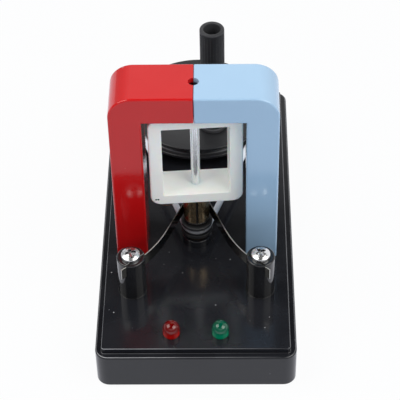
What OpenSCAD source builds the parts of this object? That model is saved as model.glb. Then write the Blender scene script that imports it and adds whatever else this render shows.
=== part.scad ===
// Hand crank generator for the classroom: a coil turns between two coloured magnet poles,
// driven by a round belt from a crank wheel, and lights two lamps through a split-ring commutator.
// Origin at the middle of the footprint, on the table. +X right, +Y to the rear, +Z up, millimetres.

/* [Base] */
// Width of the base
base_w = 58.4; // [54:0.1:70]
// Length of the base
base_l = 116; // [108:1:140]
// Height of the lower tier, from its underside to the ledge
tier_h = 12.2; // [11:0.1:18]
// Rise of the top panel above the ledge
panel_rise = 2; // [1:0.1:3]
// Width of the ledge round the top panel
ledge_w = 1.9; // [1:0.1:2.1]
// Corner radius of the lower tier in plan
base_corner_r = 3.8; // [3.6:0.1:8]
// Corner radius of the top panel in plan
panel_corner_r = 1.5; // [0.5:0.1:3]
// Wall thickness of the base housing
wall = 2.2; // [2.2:0.1:3]
// Thickness of the top panel
top_t = 2.2; // [1.8:0.1:3]
// Thickness of the bottom cover
cover_t = 2; // [1.8:0.1:2.6]
// Height of the rubber feet below the base
foot_proud = 0.5; // [0.3:0.1:2]
// Radius of a rubber foot
foot_r = 4.5; // [3:0.5:6]

/* [Magnet poles] */
// Width across both poles
pole_w = 48.2; // [47.2:0.1:54]
// Depth of a pole from front to rear
pole_d = 15.5; // [14:0.1:20]
// Height of the poles above the top panel
pole_h = 63.2; // [58:0.1:75]
// Width of one leg
leg_w = 9.3; // [8:0.1:9.8]
// Thickness of the cross bar over the rotor
bar_t = 9; // [7.5:0.1:11]
// Outer corner radius at the top of a pole
pole_corner_r = 7; // [4:0.5:8]
// Wall thickness of a pole shell
shell_wall = 1.6; // [1.2:0.1:1.8]
// Thickness of a rear cover
rear_cover_t = 1.6; // [1.2:0.1:2.2]
// Solid height at the foot of a leg
leg_foot_h = 9; // [8:0.5:14]
// Length of a magnet
magnet_l = 28; // [20:1:30]
// Width of the seam between the two poles
seam_w = 0.1; // [0.05:0.05:0.3]

/* [Rotor] */
// Distance of the rotor axis from the front of the base
rotor_from_front = 45.9; // [44:0.1:52]
// Diameter of the rotor shaft
shaft_d = 2.7; // [2:0.1:3]
// Width of the coil bobbin
bob_w = 27.2; // [25:0.1:27.6]
// Height of the coil bobbin
bob_h = 33.2; // [30:0.1:36]
// Depth of the coil bobbin across its flanges
bob_d = 10.4; // [9:0.1:11]
// Width of the bobbin's frame on each side of the window
frame_w = 3.85; // [3.7:0.05:5.5]
// Height of the bobbin's frame above and below the window
frame_h = 3.65; // [3.5:0.05:5.5]
// Corner radius of a bobbin flange
bob_corner_r = 3.2; // [2.6:0.1:4]
// Thickness of a bobbin flange
flange_t = 1.2; // [0.8:0.1:1.4]
// Wall between the window and the winding
core_wall = 1.2; // [0.9:0.1:1.4]
// Running gap between the bobbin and the cross bar
bob_top_gap = 0.5; // [0.4:0.1:1.5]
// Rest angle of the rotor
rotor_turn = 4; // [0:1:10]
// Diameter of the winding wire
wire_d = 0.3; // [0.25:0.01:0.3]
// Turns in each bank of the outer winding layer
bank_turns = 3; // [2:1:3]
// Diameter of the commutator
comm_d = 7.8; // [7:0.1:9]
// Thickness of a commutator segment
segment_t = 0.5; // [0.3:0.1:0.8]
// Slot between the commutator segments
segment_slot = 0.8; // [0.5:0.1:1.2]

/* [Belt drive] */
// Distance of the wheel axis from the front of the base
wheel_from_front = 98.3; // [94:0.1:104]
// Radius of the drive wheel
wheel_r = 22.3; // [20:0.1:25]
// Radius of the rotor pulley
pulley_r = 4.8; // [4.6:0.1:6]
// Thickness of the wheel and of the pulley
rim_t = 4.4; // [4:0.1:6]
// Height of the belt's middle above the top panel
belt_rise = 6.6; // [5.8:0.1:7.2]
// Diameter of the round belt
belt_d = 1.9; // [1.6:0.1:2.1]
// Depth of the belt's middle below the rims
belt_sink = 1.2; // [1.1:0.05:1.4]
// Web thickness of the wheel
web_t = 1.8; // [1.4:0.1:2.4]
// Height of the pulley's hub above its rim
pulley_hub_h = 0.8; // [0.6:0.1:2]

/* [Crank] */
// Radius of the crank, from the wheel axis to the grip
crank_r = 11.9; // [10.5:0.1:14]
// Rest angle of the crank, from +X
crank_turn = -66; // [-180:1:180]
// Outer radius of the grip
grip_r = 3.8; // [3.4:0.1:5]
// Height of the grip
grip_h = 39.6; // [30:0.1:60]
// Radius of the grip's hollow
grip_bore_r = 2.6; // [2.5:0.05:2.8]
// Height of the solid foot inside the grip
grip_floor_h = 8; // [5:0.5:15]
// Number of flutes round the grip
grip_flutes = 24; // [12:1:24]

/* [Brushes] */
// Distance of the brush posts from the front of the base
post_from_front = 25; // [23:0.1:27]
// Distance between the two brush posts
post_pitch = 37.9; // [35:0.1:40]
// Height of a brush post above the top panel
post_h = 14.3; // [13.6:0.1:16]
// Radius of a brush post at its top
post_top_r = 4.15; // [3.8:0.05:4.6]
// Radius of a brush post at its foot
post_foot_r = 4.2; // [4.1:0.05:5]
// Height of a brush strip
strip_h = 4; // [3:0.1:4]
// Thickness of a brush strip
strip_t = 0.3; // [0.2:0.05:0.4]
// Angle between the strip's tip and the X axis
tip_angle = 67; // [62:1:70]
// Angle between the strip's tail and the X axis
tail_angle = 41; // [40:1:46]
// Distance of the strip's tail from the middle of its post
slot_offset = 2.05; // [2.05:0.05:2.6]
// Bend radius of a brush strip
bend_r = 34; // [20:1:36]
// Length of the tail past the middle of its post
tail_past = 5.2; // [4.5:0.1:6]
// Length of the tip past its contact
tip_past = 1.6; // [0.5:0.1:2]

/* [Lamps] */
// Distance of the lamps from the front of the base
led_from_front = 7.8; // [7:0.1:12]
// Distance between the two lamps
led_pitch = 14.2; // [12:0.1:20]
// Diameter of a lamp
led_d = 5; // [4:0.5:5]
// Height of a lamp above the top panel
led_h = 4.6; // [4:0.1:6]

/* [Screws] */
// Diameter of the brush screws
post_screw_d = 3; // [2.5:0.1:3]
// Head radius of the brush screws
post_head_r = 2.8; // [2.4:0.1:3.2]
// Length of the brush screws below the head
post_screw_l = 20; // [19:0.5:21]
// Diameter of the wheel's axle
axle_d = 5; // [4:0.1:6]
// Head radius of the wheel's axle
axle_head_r = 4.2; // [3.6:0.1:5]

/* [Clearances] */
// Radial clearance of a running shaft
run_gap = 0.04; // [0.02:0.01:0.08]
// Clearance between pieces that are fitted together
fit_gap = 0.05; // [0.03:0.01:0.1]
// Clearance between the belt and its grooves
belt_gap = 0.2; // [0.15:0.01:0.3]
// Clearance between a brush and the commutator
brush_gap = 0.15; // [0.1:0.01:0.3]
// End play between pieces that turn on each other
end_play = 0.2; // [0.15:0.01:0.3]

/* [Hidden] */
$fn = 64;

// How far a cut is carried past a face
cut = 1;
// How far one shape of a piece reaches into the next
sink = 0.4;
// Gap of pieces that are glued or pressed on the shaft
glue_gap = 0.02;
// Gap round a sunk screw head, and its depth below the face
head_gap = 0.15;
head_sink = 0.1;
// Room left past the end of a screw
screw_end_gap = 0.4;

// Heights of the base
base_z = foot_proud;
ledge_z = base_z + tier_h;
panel_z = ledge_z + panel_rise;
ceiling_z = panel_z - top_t;
cover_top_z = base_z + cover_t;

// The footprint's middle is the origin
total_l = max(base_l, wheel_from_front + wheel_r);
front_y = -total_l / 2;
base_y = front_y + base_l / 2;
rotor_y = front_y + rotor_from_front;
wheel_y = front_y + wheel_from_front;
post_y = front_y + post_from_front;
led_y = front_y + led_from_front;

// Bottom cover, its bosses, screws and feet
inner_w = base_w - 2 * wall;
inner_l = base_l - 2 * wall;
inner_corner_r = base_corner_r - wall;
cover_gap = 0.15;
cover_boss_r = 3;
cover_boss_in = 3.6;
cover_boss_x = inner_w / 2 - cover_boss_in;
cover_boss_y = inner_l / 2 - cover_boss_in;
cover_screw_r = 1.25;
cover_screw_l = 8;
cover_head_r = 2.4;
cover_head_h = 1.2;
foot_seat = 0.8;
foot_side_inset = 10;
foot_end_inset = 13;
foot_x = base_w / 2 - foot_side_inset;
foot_y = base_l / 2 - foot_end_inset;

// Magnet poles
pole_hw = pole_w / 2;
bar_z = panel_z + pole_h - bar_t;
leg_x = pole_hw - leg_w / 2;
pocket_x0 = pole_hw - leg_w + shell_wall;
pocket_x1 = pole_hw - shell_wall;
seat_hw = 5.5;
pole_screw_r = 0.85;
pole_screw_l = 7;
pole_head_r = 1.7;
pole_head_h = 0.8;
pole_recess = [2.2, 0.5, 0.9];
pole_boss_r = 2.2;
pole_boss_up = 1;
pole_boss_low_z = leg_foot_h + pole_boss_r + pole_boss_up;
pole_boss_high_z = pole_h - bar_t / 2;
magnet_gap = 0.15;
shelf_t = 1.2;
leg_screw_r = 1.5;
leg_screw_l = 6.5;
leg_head_r = 2.8;
leg_head_h = 2;

// Bearings of the rotor shaft
shaft_r = shaft_d / 2;
bush_wall = 1.2;
bush_r = shaft_r + run_gap + bush_wall;
bush_lip = 0.8;
bush_flange_r = bush_r + bush_lip;
top_bush_h = 5;
top_flange_t = 0.3;
shaft_hole_gap = 0.2;
shaft_hole_r = shaft_r + shaft_hole_gap;
shaft_end_proud = 0.2;
shaft_top_z = bar_z + top_bush_h + shaft_end_proud;
bush_room_r = 4.2;
boss_wall = 1.8;
boss_r = bush_r + boss_wall;
boss_rise = 2.6;
low_bush_h = 8;
low_flange_t = 0.5;
boss_top_z = panel_z + boss_rise;
low_bush_z = boss_top_z - low_bush_h;
shaft_past = 2;
shaft_foot_z = low_bush_z - shaft_past;
thrust_floor = 2;

// Bobbin and winding, in the bobbin's own plane with its middle at the rotor axis
bob_top_z = bar_z - bob_top_gap;
bob_mid_z = bob_top_z - bob_h / 2;
bob_foot_z = bob_top_z - bob_h;
bob_edge_r = 1.6;
window_w = bob_w - 2 * frame_w;
window_h = bob_h - 2 * frame_h;
channel_w = window_w + 2 * core_wall;
channel_h = window_h + 2 * core_wall;
channel_d = bob_d - 2 * flange_t;
flange_margin = 0.9;
pack_w = bob_w - 2 * flange_margin;
pack_h = bob_h - 2 * flange_margin;
pack_corner_r = 2.4;
channel_corner_r = 1.2;
hub_skin = 0.7;
hub_r = shaft_r + hub_skin;
hub_inset = 0.1;
layer_gap = 0.1;
wire_gap = 0.42;
wire_sides = 6;
arc_steps = 4;
wire_pitch = wire_d + wire_gap;
layer_half_w = pack_w / 2 + layer_gap + wire_d / 2;
layer_half_h = pack_h / 2 + layer_gap + wire_d / 2;
layer_corner_r = pack_corner_r + layer_gap + wire_d / 2;
bank_n = channel_d / 2 - wire_d / 2 - layer_gap;
wire_hole_r = 0.25;
wire_hole_in = 1.6;
wire_hole_up = 2.15;
wire_hole_pitch = 0.6;

// Pulley, commutator and belt
belt_z = panel_z + belt_rise;
rim_z = belt_z - rim_t / 2;
rim_top_z = belt_z + rim_t / 2;
pulley_pitch_r = pulley_r - belt_sink;
wheel_pitch_r = wheel_r - belt_sink;
groove_r = belt_d / 2 + belt_gap;
belt_span = wheel_y - rotor_y;
weld_l = 0.5;
weld_rise = 0.03;
belt_lean = asin((wheel_pitch_r - pulley_pitch_r) / belt_span);
comm_r = comm_d / 2;
comm_core_r = comm_r - segment_t - glue_gap;
comm_foot_h = 0.6;
comm_z = rim_top_z + pulley_hub_h;
comm_top_gap = 0.5;
comm_top_z = bob_foot_z - comm_top_gap;
pulley_hub_r = 3;
lead_d = 0.4;

// Wheel, axle and grip
hub_wall = 4;
hub_out_r = axle_d / 2 + hub_wall;
rim_wall = 1.6;
rim_in_r = wheel_pitch_r - groove_r - rim_wall;
axle_boss_wall = 3;
axle_boss_r = axle_d / 2 + axle_boss_wall;
axle_boss_rise = 1.6;
axle_boss_floor = 1.5;
axle_boss_z = panel_z + axle_boss_rise;
washer_t = 0.4;
hub_z = axle_boss_z + washer_t + end_play;
axle_shoulder = 0.5;
axle_thread_r = axle_d / 2 - axle_shoulder;
axle_thread_l = 9;
axle_head_z = rim_top_z + end_play + washer_t + fit_gap;
washer_lip = 0.8;
axle_washer_r = axle_head_r + washer_lip;
crank_x = crank_r * cos(crank_turn);
crank_y = wheel_y + crank_r * sin(crank_turn);
grip_z = rim_top_z + end_play;
grip_foot_lip = 0.45;
grip_foot_r = grip_r + grip_foot_lip;
grip_foot_h = 1.4;
grip_lip_h = 1.3;
flute_r = 0.36;
flute_out = 0.08;
flute_start = 0.6;
grip_screw_r = 1.6;
grip_thread_r = 1.3;
grip_head_gap = 0.2;
grip_head_r = grip_bore_r - grip_head_gap;
grip_head_h = 1.8;
crank_boss_r = grip_foot_r;
crank_boss_floor = 0.8;

// Brushes, worked out for the right-hand one: tip line, tail line and the bend between them
post_x = post_pitch / 2;
post_top_z = panel_z + post_h;
strip_drop = 0.55;
strip_z = post_top_z - strip_h - strip_drop;
slot_gap = 0.1;
spigot_wall = 1;
spigot_r = post_screw_d / 2 + spigot_wall;
foot_bead = 0.12;
foot_bead_r = post_foot_r + foot_bead;
foot_bead_h = 0.25;
contact_r = comm_r + brush_gap + strip_t / 2;
tip_dir = [-cos(tip_angle), sin(tip_angle)];
tail_dir = [-cos(tail_angle), sin(tail_angle)];
tip_normal = [sin(tip_angle), cos(tip_angle)];
tail_normal = [sin(tail_angle), cos(tail_angle)];
tip_line = tip_normal * [0, rotor_y] + contact_r;
tail_line = tail_normal * [post_x, post_y] - slot_offset;
bend_angle = tip_angle - tail_angle;
bend_x = (tip_line * tail_normal.y - tail_line * tip_normal.y) / sin(bend_angle);
bend_y = (tip_normal.x * tail_line - tail_normal.x * tip_line) / sin(bend_angle);
bend_point = [bend_x, bend_y];
bend_steps = 10;
bend_run = bend_r * tan(bend_angle / 2);
bend_centre = bend_point - bend_run * tail_dir + bend_r * tail_normal;
contact_point = [0, rotor_y] + contact_r * tip_normal;
tip_l = norm(contact_point - bend_point) - bend_run + tip_past;
tail_l = (bend_point - [post_x, post_y]) * tail_dir - bend_run + tail_past;

// Screws, nuts and lamp wiring
dome_rise = 1;
head_side_h = 0.9;
recess_l = 3.2;
recess_w = 0.8;
recess_depth = 1.1;
nut_flats = 5.5;
nut_t = 2.4;
led_r = led_d / 2;
led_lip = 0.4;
led_flange_r = led_r + led_lip;
led_flange_t = 1;
lead_pitch = 2.54;
lead_w = 0.5;
lead_l = 6.5;
lead_z = ceiling_z - led_flange_t - lead_l;
cable_d = 1.2;
cable_sides = 8;
link_d = 0.8;
link_past = 0.4;
link_up = 1.5;
link_z = lead_z + link_up;
solder_gap = 0.1;
nut_side = nut_flats / sqrt(3) + cable_d / 2 + solder_gap;
outer_lead_x = led_pitch / 2 + lead_pitch / 2;
inner_lead_x = led_pitch / 2 - lead_pitch / 2;
cable_end_x = outer_lead_x + lead_w / 2 + cable_d / 2 + solder_gap;
cable_x = post_x - nut_side;
cable_drop = 1.5;
cable_z = ceiling_z - cable_drop;
cable_end_z = link_z + cable_drop;
cable_past = 3;
cable_step = 4;
cable_shift = 2;
cable_slack = 0.5;

// A rectangle with round corners, centred
module rounded_rect(w, l, r) {
    square([w - 2 * r, l], center = true);
    square([w, l - 2 * r], center = true);
    for (x = [-1, 1], y = [-1, 1])
        translate([x * (w / 2 - r), y * (l / 2 - r)]) circle(r = r);
}

// A plain tube standing on z = 0
module ring(r_out, r_in, h) {
    difference() {
        cylinder(r = r_out, h = h);
        translate([0, 0, -cut]) cylinder(r = r_in, h = h + 2 * cut);
    }
}

// Four copies at the corners of a rectangle round the base's middle
module at_corners(x, y) {
    for (sx = [-1, 1], sy = [-1, 1])
        translate([sx * x, base_y + sy * y, 0]) children();
}

// Left and right copies
module both_sides(x) {
    for (side = [-1, 1])
        translate([side * x, 0, 0]) children();
}

// A domed screw head with a cross recess, its underside on z = 0
module pan_head(r) {
    dome_r = (r * r + dome_rise * dome_rise) / (2 * dome_rise);
    head_h = head_side_h + dome_rise;
    difference() {
        intersection() {
            cylinder(r = r, h = head_h);
            translate([0, 0, head_h - dome_r]) sphere(r = dome_r);
        }
        for (turn = [0, 90])
            rotate(turn) translate([0, 0, head_h - recess_depth / 2 + cut / 2])
                cube([recess_l, recess_w, recess_depth + cut], center = true);
    }
}

// A tube along a list of points: one closed surface of triangles
function unit(v) = v / norm(v);
function heading(p, i) =
    i == 0 ? unit(p[1] - p[0])
    : i == len(p) - 1 ? unit(p[i] - p[i - 1])
    : unit(unit(p[i + 1] - p[i]) + unit(p[i] - p[i - 1]));
function tube_ring(c, t, r, sides, side_dir) =
    let (a = unit(cross(side_dir, t)), b = cross(t, a))
    [for (k = [0:sides - 1]) c + r * (cos(360 * k / sides) * a + sin(360 * k / sides) * b)];
module tube(points, d, sides, side_dir) {
    rings = len(points);
    skin = [for (i = [0:rings - 1]) each tube_ring(points[i], heading(points, i), d / 2, sides, side_dir)];
    walls = [for (i = [0:rings - 2], k = [0:sides - 1])
        let (a = i * sides + k, b = i * sides + (k + 1) % sides)
        each [[a, a + sides, b], [b, a + sides, b + sides]]];
    first_cap = [for (k = [1:sides - 2]) [0, k, k + 1]];
    last_cap = [for (k = [1:sides - 2]) [for (j = [0, k + 1, k]) (rings - 1) * sides + j]];
    polyhedron(points = skin, faces = concat(walls, first_cap, last_cap));
}

// Black moulded housing: two tiers, open below, with the bosses that carry everything
module base_housing() {
    color("#232427") difference() {
        union() {
            difference() {
                union() {
                    translate([0, base_y, base_z])
                        linear_extrude(tier_h) rounded_rect(base_w, base_l, base_corner_r);
                    translate([0, base_y, ledge_z - sink])
                        linear_extrude(panel_rise + sink)
                            rounded_rect(base_w - 2 * ledge_w, base_l - 2 * ledge_w, panel_corner_r);
                }
                translate([0, base_y, base_z - cut])
                    linear_extrude(ceiling_z - base_z + cut) rounded_rect(inner_w, inner_l, inner_corner_r);
            }
            at_corners(cover_boss_x, cover_boss_y)
                translate([0, 0, cover_top_z]) cylinder(r = cover_boss_r, h = ceiling_z - cover_top_z + sink);
            translate([0, rotor_y, shaft_foot_z - thrust_floor])
                cylinder(r = boss_r, h = boss_top_z - shaft_foot_z + thrust_floor);
            translate([0, wheel_y, axle_boss_z - axle_thread_l - axle_boss_floor])
                cylinder(r = axle_boss_r, h = axle_thread_l + axle_boss_floor);
        }
        at_corners(cover_boss_x, cover_boss_y)
            translate([0, 0, cover_top_z - cut])
                cylinder(r = cover_screw_r + fit_gap, h = cover_screw_l + cut);
        translate([0, rotor_y, low_bush_z]) cylinder(r = bush_r + fit_gap, h = low_bush_h + cut);
        translate([0, rotor_y, shaft_foot_z - fit_gap])
            cylinder(r = shaft_hole_r, h = low_bush_h);
        translate([0, wheel_y, axle_boss_z - axle_thread_l - fit_gap])
            cylinder(r = axle_thread_r + fit_gap, h = axle_thread_l + cut);
        both_sides(post_x) translate([0, post_y, ceiling_z - cut])
            cylinder(r = spigot_r + fit_gap, h = top_t + 2 * cut);
        both_sides(leg_x) translate([0, rotor_y, ceiling_z - cut])
            cylinder(r = leg_screw_r + fit_gap, h = top_t + 2 * cut);
        both_sides(led_pitch / 2) translate([0, led_y, ceiling_z - cut])
            cylinder(r = led_r + fit_gap, h = top_t + 2 * cut);
    }
}

// Flat plate that closes the housing, let in flush with its rim
module bottom_cover() {
    color("#2b2c2f") difference() {
        translate([0, base_y, base_z])
            linear_extrude(cover_t)
                rounded_rect(inner_w - 2 * cover_gap, inner_l - 2 * cover_gap, inner_corner_r - cover_gap);
        at_corners(cover_boss_x, cover_boss_y) {
            translate([0, 0, base_z - cut]) cylinder(r = cover_screw_r + fit_gap, h = cover_t + 2 * cut);
            translate([0, 0, base_z - cut]) cylinder(r = cover_head_r + head_gap, h = cover_head_h + cut);
        }
        at_corners(foot_x, foot_y)
            translate([0, 0, base_z - cut]) cylinder(r = foot_r + fit_gap, h = foot_seat + cut);
    }
}

module cover_screws() {
    shank_l = cover_t - cover_head_h + cover_screw_l - screw_end_gap + sink;
    color("#b9bcc0") at_corners(cover_boss_x, cover_boss_y) difference() {
        union() {
            translate([0, 0, base_z + head_sink]) cylinder(r = cover_head_r, h = cover_head_h - head_sink);
            translate([0, 0, base_z + cover_head_h - sink]) cylinder(r = cover_screw_r, h = shank_l);
        }
        for (turn = [0, 90])
            rotate(turn) translate([0, 0, base_z]) cube([recess_l, recess_w, recess_depth], center = true);
    }
}

module rubber_feet() {
    color("#3a3a3a") at_corners(foot_x, foot_y) cylinder(r = foot_r, h = foot_proud + foot_seat);
}

// Bent spring strip for the right-hand side, as tall as h and as thick as t
function strip_side(off) = concat(
    [bend_point - (bend_run + tail_l) * tail_dir + off * tail_normal],
    [for (k = [0:bend_steps])
        let (a = tail_angle + bend_angle * k / bend_steps)
        bend_centre - (bend_r - off) * [sin(a), cos(a)]],
    [bend_point + (bend_run + tip_l) * tip_dir + off * tip_normal]);
module strip(h, t) {
    near = strip_side(t / 2);
    far = strip_side(-t / 2);
    linear_extrude(h) polygon(concat(near, [for (k = [len(far) - 1:-1:0]) far[k]]));
}

// Slotted post that holds a brush strip, with a spigot in the top panel
module brush_post() {
    difference() {
        translate([post_x, post_y, 0]) {
            translate([0, 0, ceiling_z]) cylinder(r = spigot_r, h = top_t + sink);
            translate([0, 0, panel_z]) cylinder(r1 = foot_bead_r, r2 = post_foot_r, h = foot_bead_h);
            translate([0, 0, panel_z]) cylinder(r1 = post_foot_r, r2 = post_top_r, h = post_h);
        }
        translate([post_x, post_y, ceiling_z - cut])
            cylinder(r = post_screw_d / 2 + fit_gap, h = top_t + post_h + 2 * cut);
        translate([0, 0, strip_z - slot_gap]) strip(strip_h + slot_gap + cut, strip_t + 2 * slot_gap);
    }
}

module right_brush_post() {
    color("#1f2022") brush_post();
}

module left_brush_post() {
    color("#1f2022") mirror([1, 0, 0]) brush_post();
}

module right_brush() {
    color("#b7b2a6") translate([0, 0, strip_z]) strip(strip_h, strip_t);
}

module left_brush() {
    color("#b7b2a6") mirror([1, 0, 0]) translate([0, 0, strip_z]) strip(strip_h, strip_t);
}

// Cross-recessed screws through the posts
module brush_screws() {
    color("#d9dbde") both_sides(post_x) translate([0, post_y, post_top_z]) {
        pan_head(post_head_r);
        translate([0, 0, -post_screw_l]) cylinder(r = post_screw_d / 2, h = post_screw_l + sink);
    }
}

module terminal_nuts() {
    color("#c9a85a") both_sides(post_x) translate([0, post_y, ceiling_z - nut_t]) difference() {
        cylinder(r = nut_flats / sqrt(3), h = nut_t, $fn = 6);
        translate([0, 0, -cut]) cylinder(r = post_screw_d / 2 + fit_gap, h = nut_t + 2 * cut);
    }
}

// Round-topped lamp with its flange against the ceiling of the base
module led(side) {
    translate([side * led_pitch / 2, led_y, 0]) {
        translate([0, 0, ceiling_z - led_flange_t]) cylinder(r = led_flange_r, h = led_flange_t);
        translate([0, 0, ceiling_z - led_flange_t])
            cylinder(r = led_r, h = top_t + led_flange_t + led_h - led_r);
        translate([0, 0, panel_z + led_h - led_r]) sphere(r = led_r);
    }
}

module red_led() {
    color("#a5140f") led(-1);
}

module green_led() {
    color("#0b7a45") led(1);
}

module led_leads() {
    color("#c8c8c4") for (x = [inner_lead_x, outer_lead_x])
        both_sides(x) translate([-lead_w / 2, led_y - lead_w / 2, lead_z]) cube([lead_w, lead_w, lead_l]);
}

// Lead from a brush screw to the outer wire of its lamp, inside the base
function cable_route(side) = [
    [side * cable_x, post_y + cable_past, cable_z],
    [side * cable_x, post_y, cable_z],
    [side * cable_x, post_y - cable_step, cable_z - cable_slack],
    [side * (cable_x - cable_shift), post_y - 2 * cable_step, cable_z - cable_shift - cable_slack],
    [side * cable_end_x, led_y + 2 * cable_past, cable_end_z],
    [side * cable_end_x, led_y + cable_past, cable_end_z],
    [side * cable_end_x, led_y - cable_slack, cable_end_z]
];

module left_wire() {
    color("#b22222") tube(cable_route(-1), cable_d, cable_sides, [0, 0, 1]);
}

module right_wire() {
    color("#2a2a2a") tube(cable_route(1), cable_d, cable_sides, [0, 0, 1]);
}

// Two links that join the lamps crosswise, one in front of the lamp leads and one behind
module link_wires() {
    color("#d8c04a") for (side = [-1, 1])
        translate([0, led_y + side * (lead_w / 2 + link_d / 2 + fit_gap), link_z])
            rotate([0, side * 90, 0]) translate([0, 0, -inner_lead_x - link_past])
                cylinder(d = link_d, h = inner_lead_x + outer_lead_x + 2 * link_past);
}

// Front view of the right-hand pole: a leg and half the cross bar, drawn in X and Z from the panel
module pole_outline(x0, x1, leg_x0, z0, z1, bar_z0, corner_r) {
    difference() {
        union() {
            translate([leg_x0, z0]) square([x1 - leg_x0, z1 - z0]);
            translate([x0, bar_z0]) square([x1 - x0, z1 - bar_z0]);
        }
        difference() {
            translate([x1 - corner_r, z1 - corner_r]) square([corner_r + cut, corner_r + cut]);
            translate([x1 - corner_r, z1 - corner_r]) circle(r = corner_r);
        }
    }
}

// Carries a front view outline back from y0 to y1, measured from the rotor axis
module front_to_rear(y0, y1) {
    translate([0, rotor_y + y1, panel_z]) rotate([90, 0, 0]) linear_extrude(y1 - y0) children();
}

// The pocket behind the front wall of a pole, less a margin
module pocket_outline(margin) {
    top = pole_h - shell_wall - margin;
    bar_floor = pole_h - bar_t + shell_wall + margin;
    pole_outline(seat_hw + margin, pocket_x1 - margin, pocket_x0 + margin, leg_foot_h + margin,
        top, bar_floor, pole_corner_r - shell_wall - margin);
}

// Places that the two screws of a rear cover take, in X and Z
module at_cover_screws() {
    for (z = [pole_boss_low_z, pole_boss_high_z])
        translate([leg_x, rotor_y, panel_z + z]) rotate([-90, 0, 0]) children();
}

// Hollow pole: front wall and sides, open to the rear, half a bearing seat and oil well at the seam
module pole_shell() {
    pocket_y = -pole_d / 2 + shell_wall;
    cover_y = pole_d / 2 - rear_cover_t;
    shelf_z = bob_mid_z - magnet_l / 2 - magnet_gap - shelf_t;
    difference() {
        union() {
            difference() {
                front_to_rear(-pole_d / 2, pole_d / 2)
                    pole_outline(seam_w / 2, pole_hw, pole_hw - leg_w, 0,
                        pole_h, pole_h - bar_t, pole_corner_r);
                front_to_rear(pocket_y, pole_d / 2 + cut) pocket_outline(0);
            }
            at_cover_screws() translate([0, 0, pocket_y - sink])
                cylinder(r = pole_boss_r, h = cover_y - pocket_y + sink - fit_gap);
            translate([pocket_x0 - sink, rotor_y + pocket_y - sink, shelf_z])
                cube([pocket_x1 - pocket_x0 + 2 * sink, cover_y - pocket_y + sink - fit_gap, shelf_t]);
        }
        at_cover_screws() translate([0, 0, pole_d / 2 - pole_head_h - pole_screw_l])
            cylinder(r = pole_screw_r + fit_gap, h = pole_screw_l + cut);
        translate([leg_x, rotor_y, panel_z - cut])
            cylinder(r = leg_screw_r + fit_gap, h = leg_screw_l + screw_end_gap + cut);
        translate([0, rotor_y, bar_z - cut]) cylinder(r = bush_r + fit_gap, h = top_bush_h + fit_gap + cut);
        translate([0, rotor_y, bar_z + top_bush_h])
            cylinder(r = bush_room_r, h = bar_t - top_bush_h - shell_wall);
        translate([0, rotor_y, bar_z]) cylinder(r = shaft_hole_r, h = bar_t + cut);
    }
}

module blue_pole_shell() {
    color("#a9cbe6") pole_shell();
}

module red_pole_shell() {
    color("#c9242b") mirror([1, 0, 0]) pole_shell();
}

// Plate that closes the rear of a pole, let in flush
module rear_cover() {
    difference() {
        front_to_rear(pole_d / 2 - rear_cover_t, pole_d / 2) pocket_outline(fit_gap);
        at_cover_screws() {
            translate([0, 0, pole_d / 2 - rear_cover_t - cut])
                cylinder(r = pole_screw_r + fit_gap, h = rear_cover_t + 2 * cut);
            translate([0, 0, pole_d / 2 - pole_head_h])
                cylinder(r = pole_head_r + head_gap, h = pole_head_h + cut);
        }
    }
}

module blue_rear_cover() {
    color("#9fc3e0") rear_cover();
}

module red_rear_cover() {
    color("#bf2128") mirror([1, 0, 0]) rear_cover();
}

module rear_cover_screws() {
    color("#b9bcc0") for (side = [0, 1])
        mirror([side, 0, 0]) at_cover_screws() difference() {
            union() {
                translate([0, 0, pole_d / 2 - pole_head_h])
                    cylinder(r = pole_head_r, h = pole_head_h - fit_gap);
                translate([0, 0, pole_d / 2 - pole_head_h - pole_screw_l + screw_end_gap])
                    cylinder(r = pole_screw_r, h = pole_screw_l);
            }
            for (turn = [0, 90])
                rotate(turn) translate([0, 0, pole_d / 2]) cube(pole_recess, center = true);
        }
}

// Ferrite block in the leg, standing on the shelf beside the rotor
module magnet() {
    translate([pocket_x0 + fit_gap, rotor_y - pole_d / 2 + shell_wall + fit_gap, bob_mid_z - magnet_l / 2])
        cube([pocket_x1 - pocket_x0 - 2 * fit_gap,
            pole_d - shell_wall - rear_cover_t - 2 * fit_gap, magnet_l]);
}

module right_magnet() {
    color("#3b3d42") magnet();
}

module left_magnet() {
    color("#3b3d42") mirror([1, 0, 0]) magnet();
}

module leg_screws() {
    color("#b9bcc0") both_sides(leg_x) translate([0, rotor_y, ceiling_z]) {
        translate([0, 0, -leg_head_h]) cylinder(r = leg_head_r, h = leg_head_h);
        translate([0, 0, -sink]) cylinder(r = leg_screw_r, h = top_t + leg_screw_l + sink);
    }
}

module upper_bearing() {
    color("#b08d45") translate([0, rotor_y, 0]) {
        translate([0, 0, bar_z]) ring(bush_r, shaft_r + run_gap, top_bush_h);
        translate([0, 0, bar_z - top_flange_t]) ring(bush_flange_r, shaft_r + run_gap, top_flange_t);
    }
}

module lower_bearing() {
    color("#b08d45") translate([0, rotor_y, 0]) {
        translate([0, 0, low_bush_z + fit_gap]) ring(bush_r, shaft_r + run_gap, low_bush_h - fit_gap);
        translate([0, 0, boss_top_z]) ring(bush_flange_r, shaft_r + run_gap, low_flange_t);
    }
}

// The rotor's own frame: its axis, turned to the rest angle
module on_rotor() {
    translate([0, rotor_y, 0]) rotate(rotor_turn) children();
}

module rotor_shaft() {
    color("#c7cacd") on_rotor() translate([0, 0, shaft_foot_z + fit_gap])
        cylinder(r = shaft_r, h = shaft_top_z - shaft_foot_z - fit_gap);
}

// Stands a flat outline up in the bobbin's plane, from n0 to n1 through its depth
module across_bobbin(n0, n1) {
    on_rotor() translate([0, n1, bob_mid_z]) rotate([90, 0, 0]) linear_extrude(n1 - n0) children();
}

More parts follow.
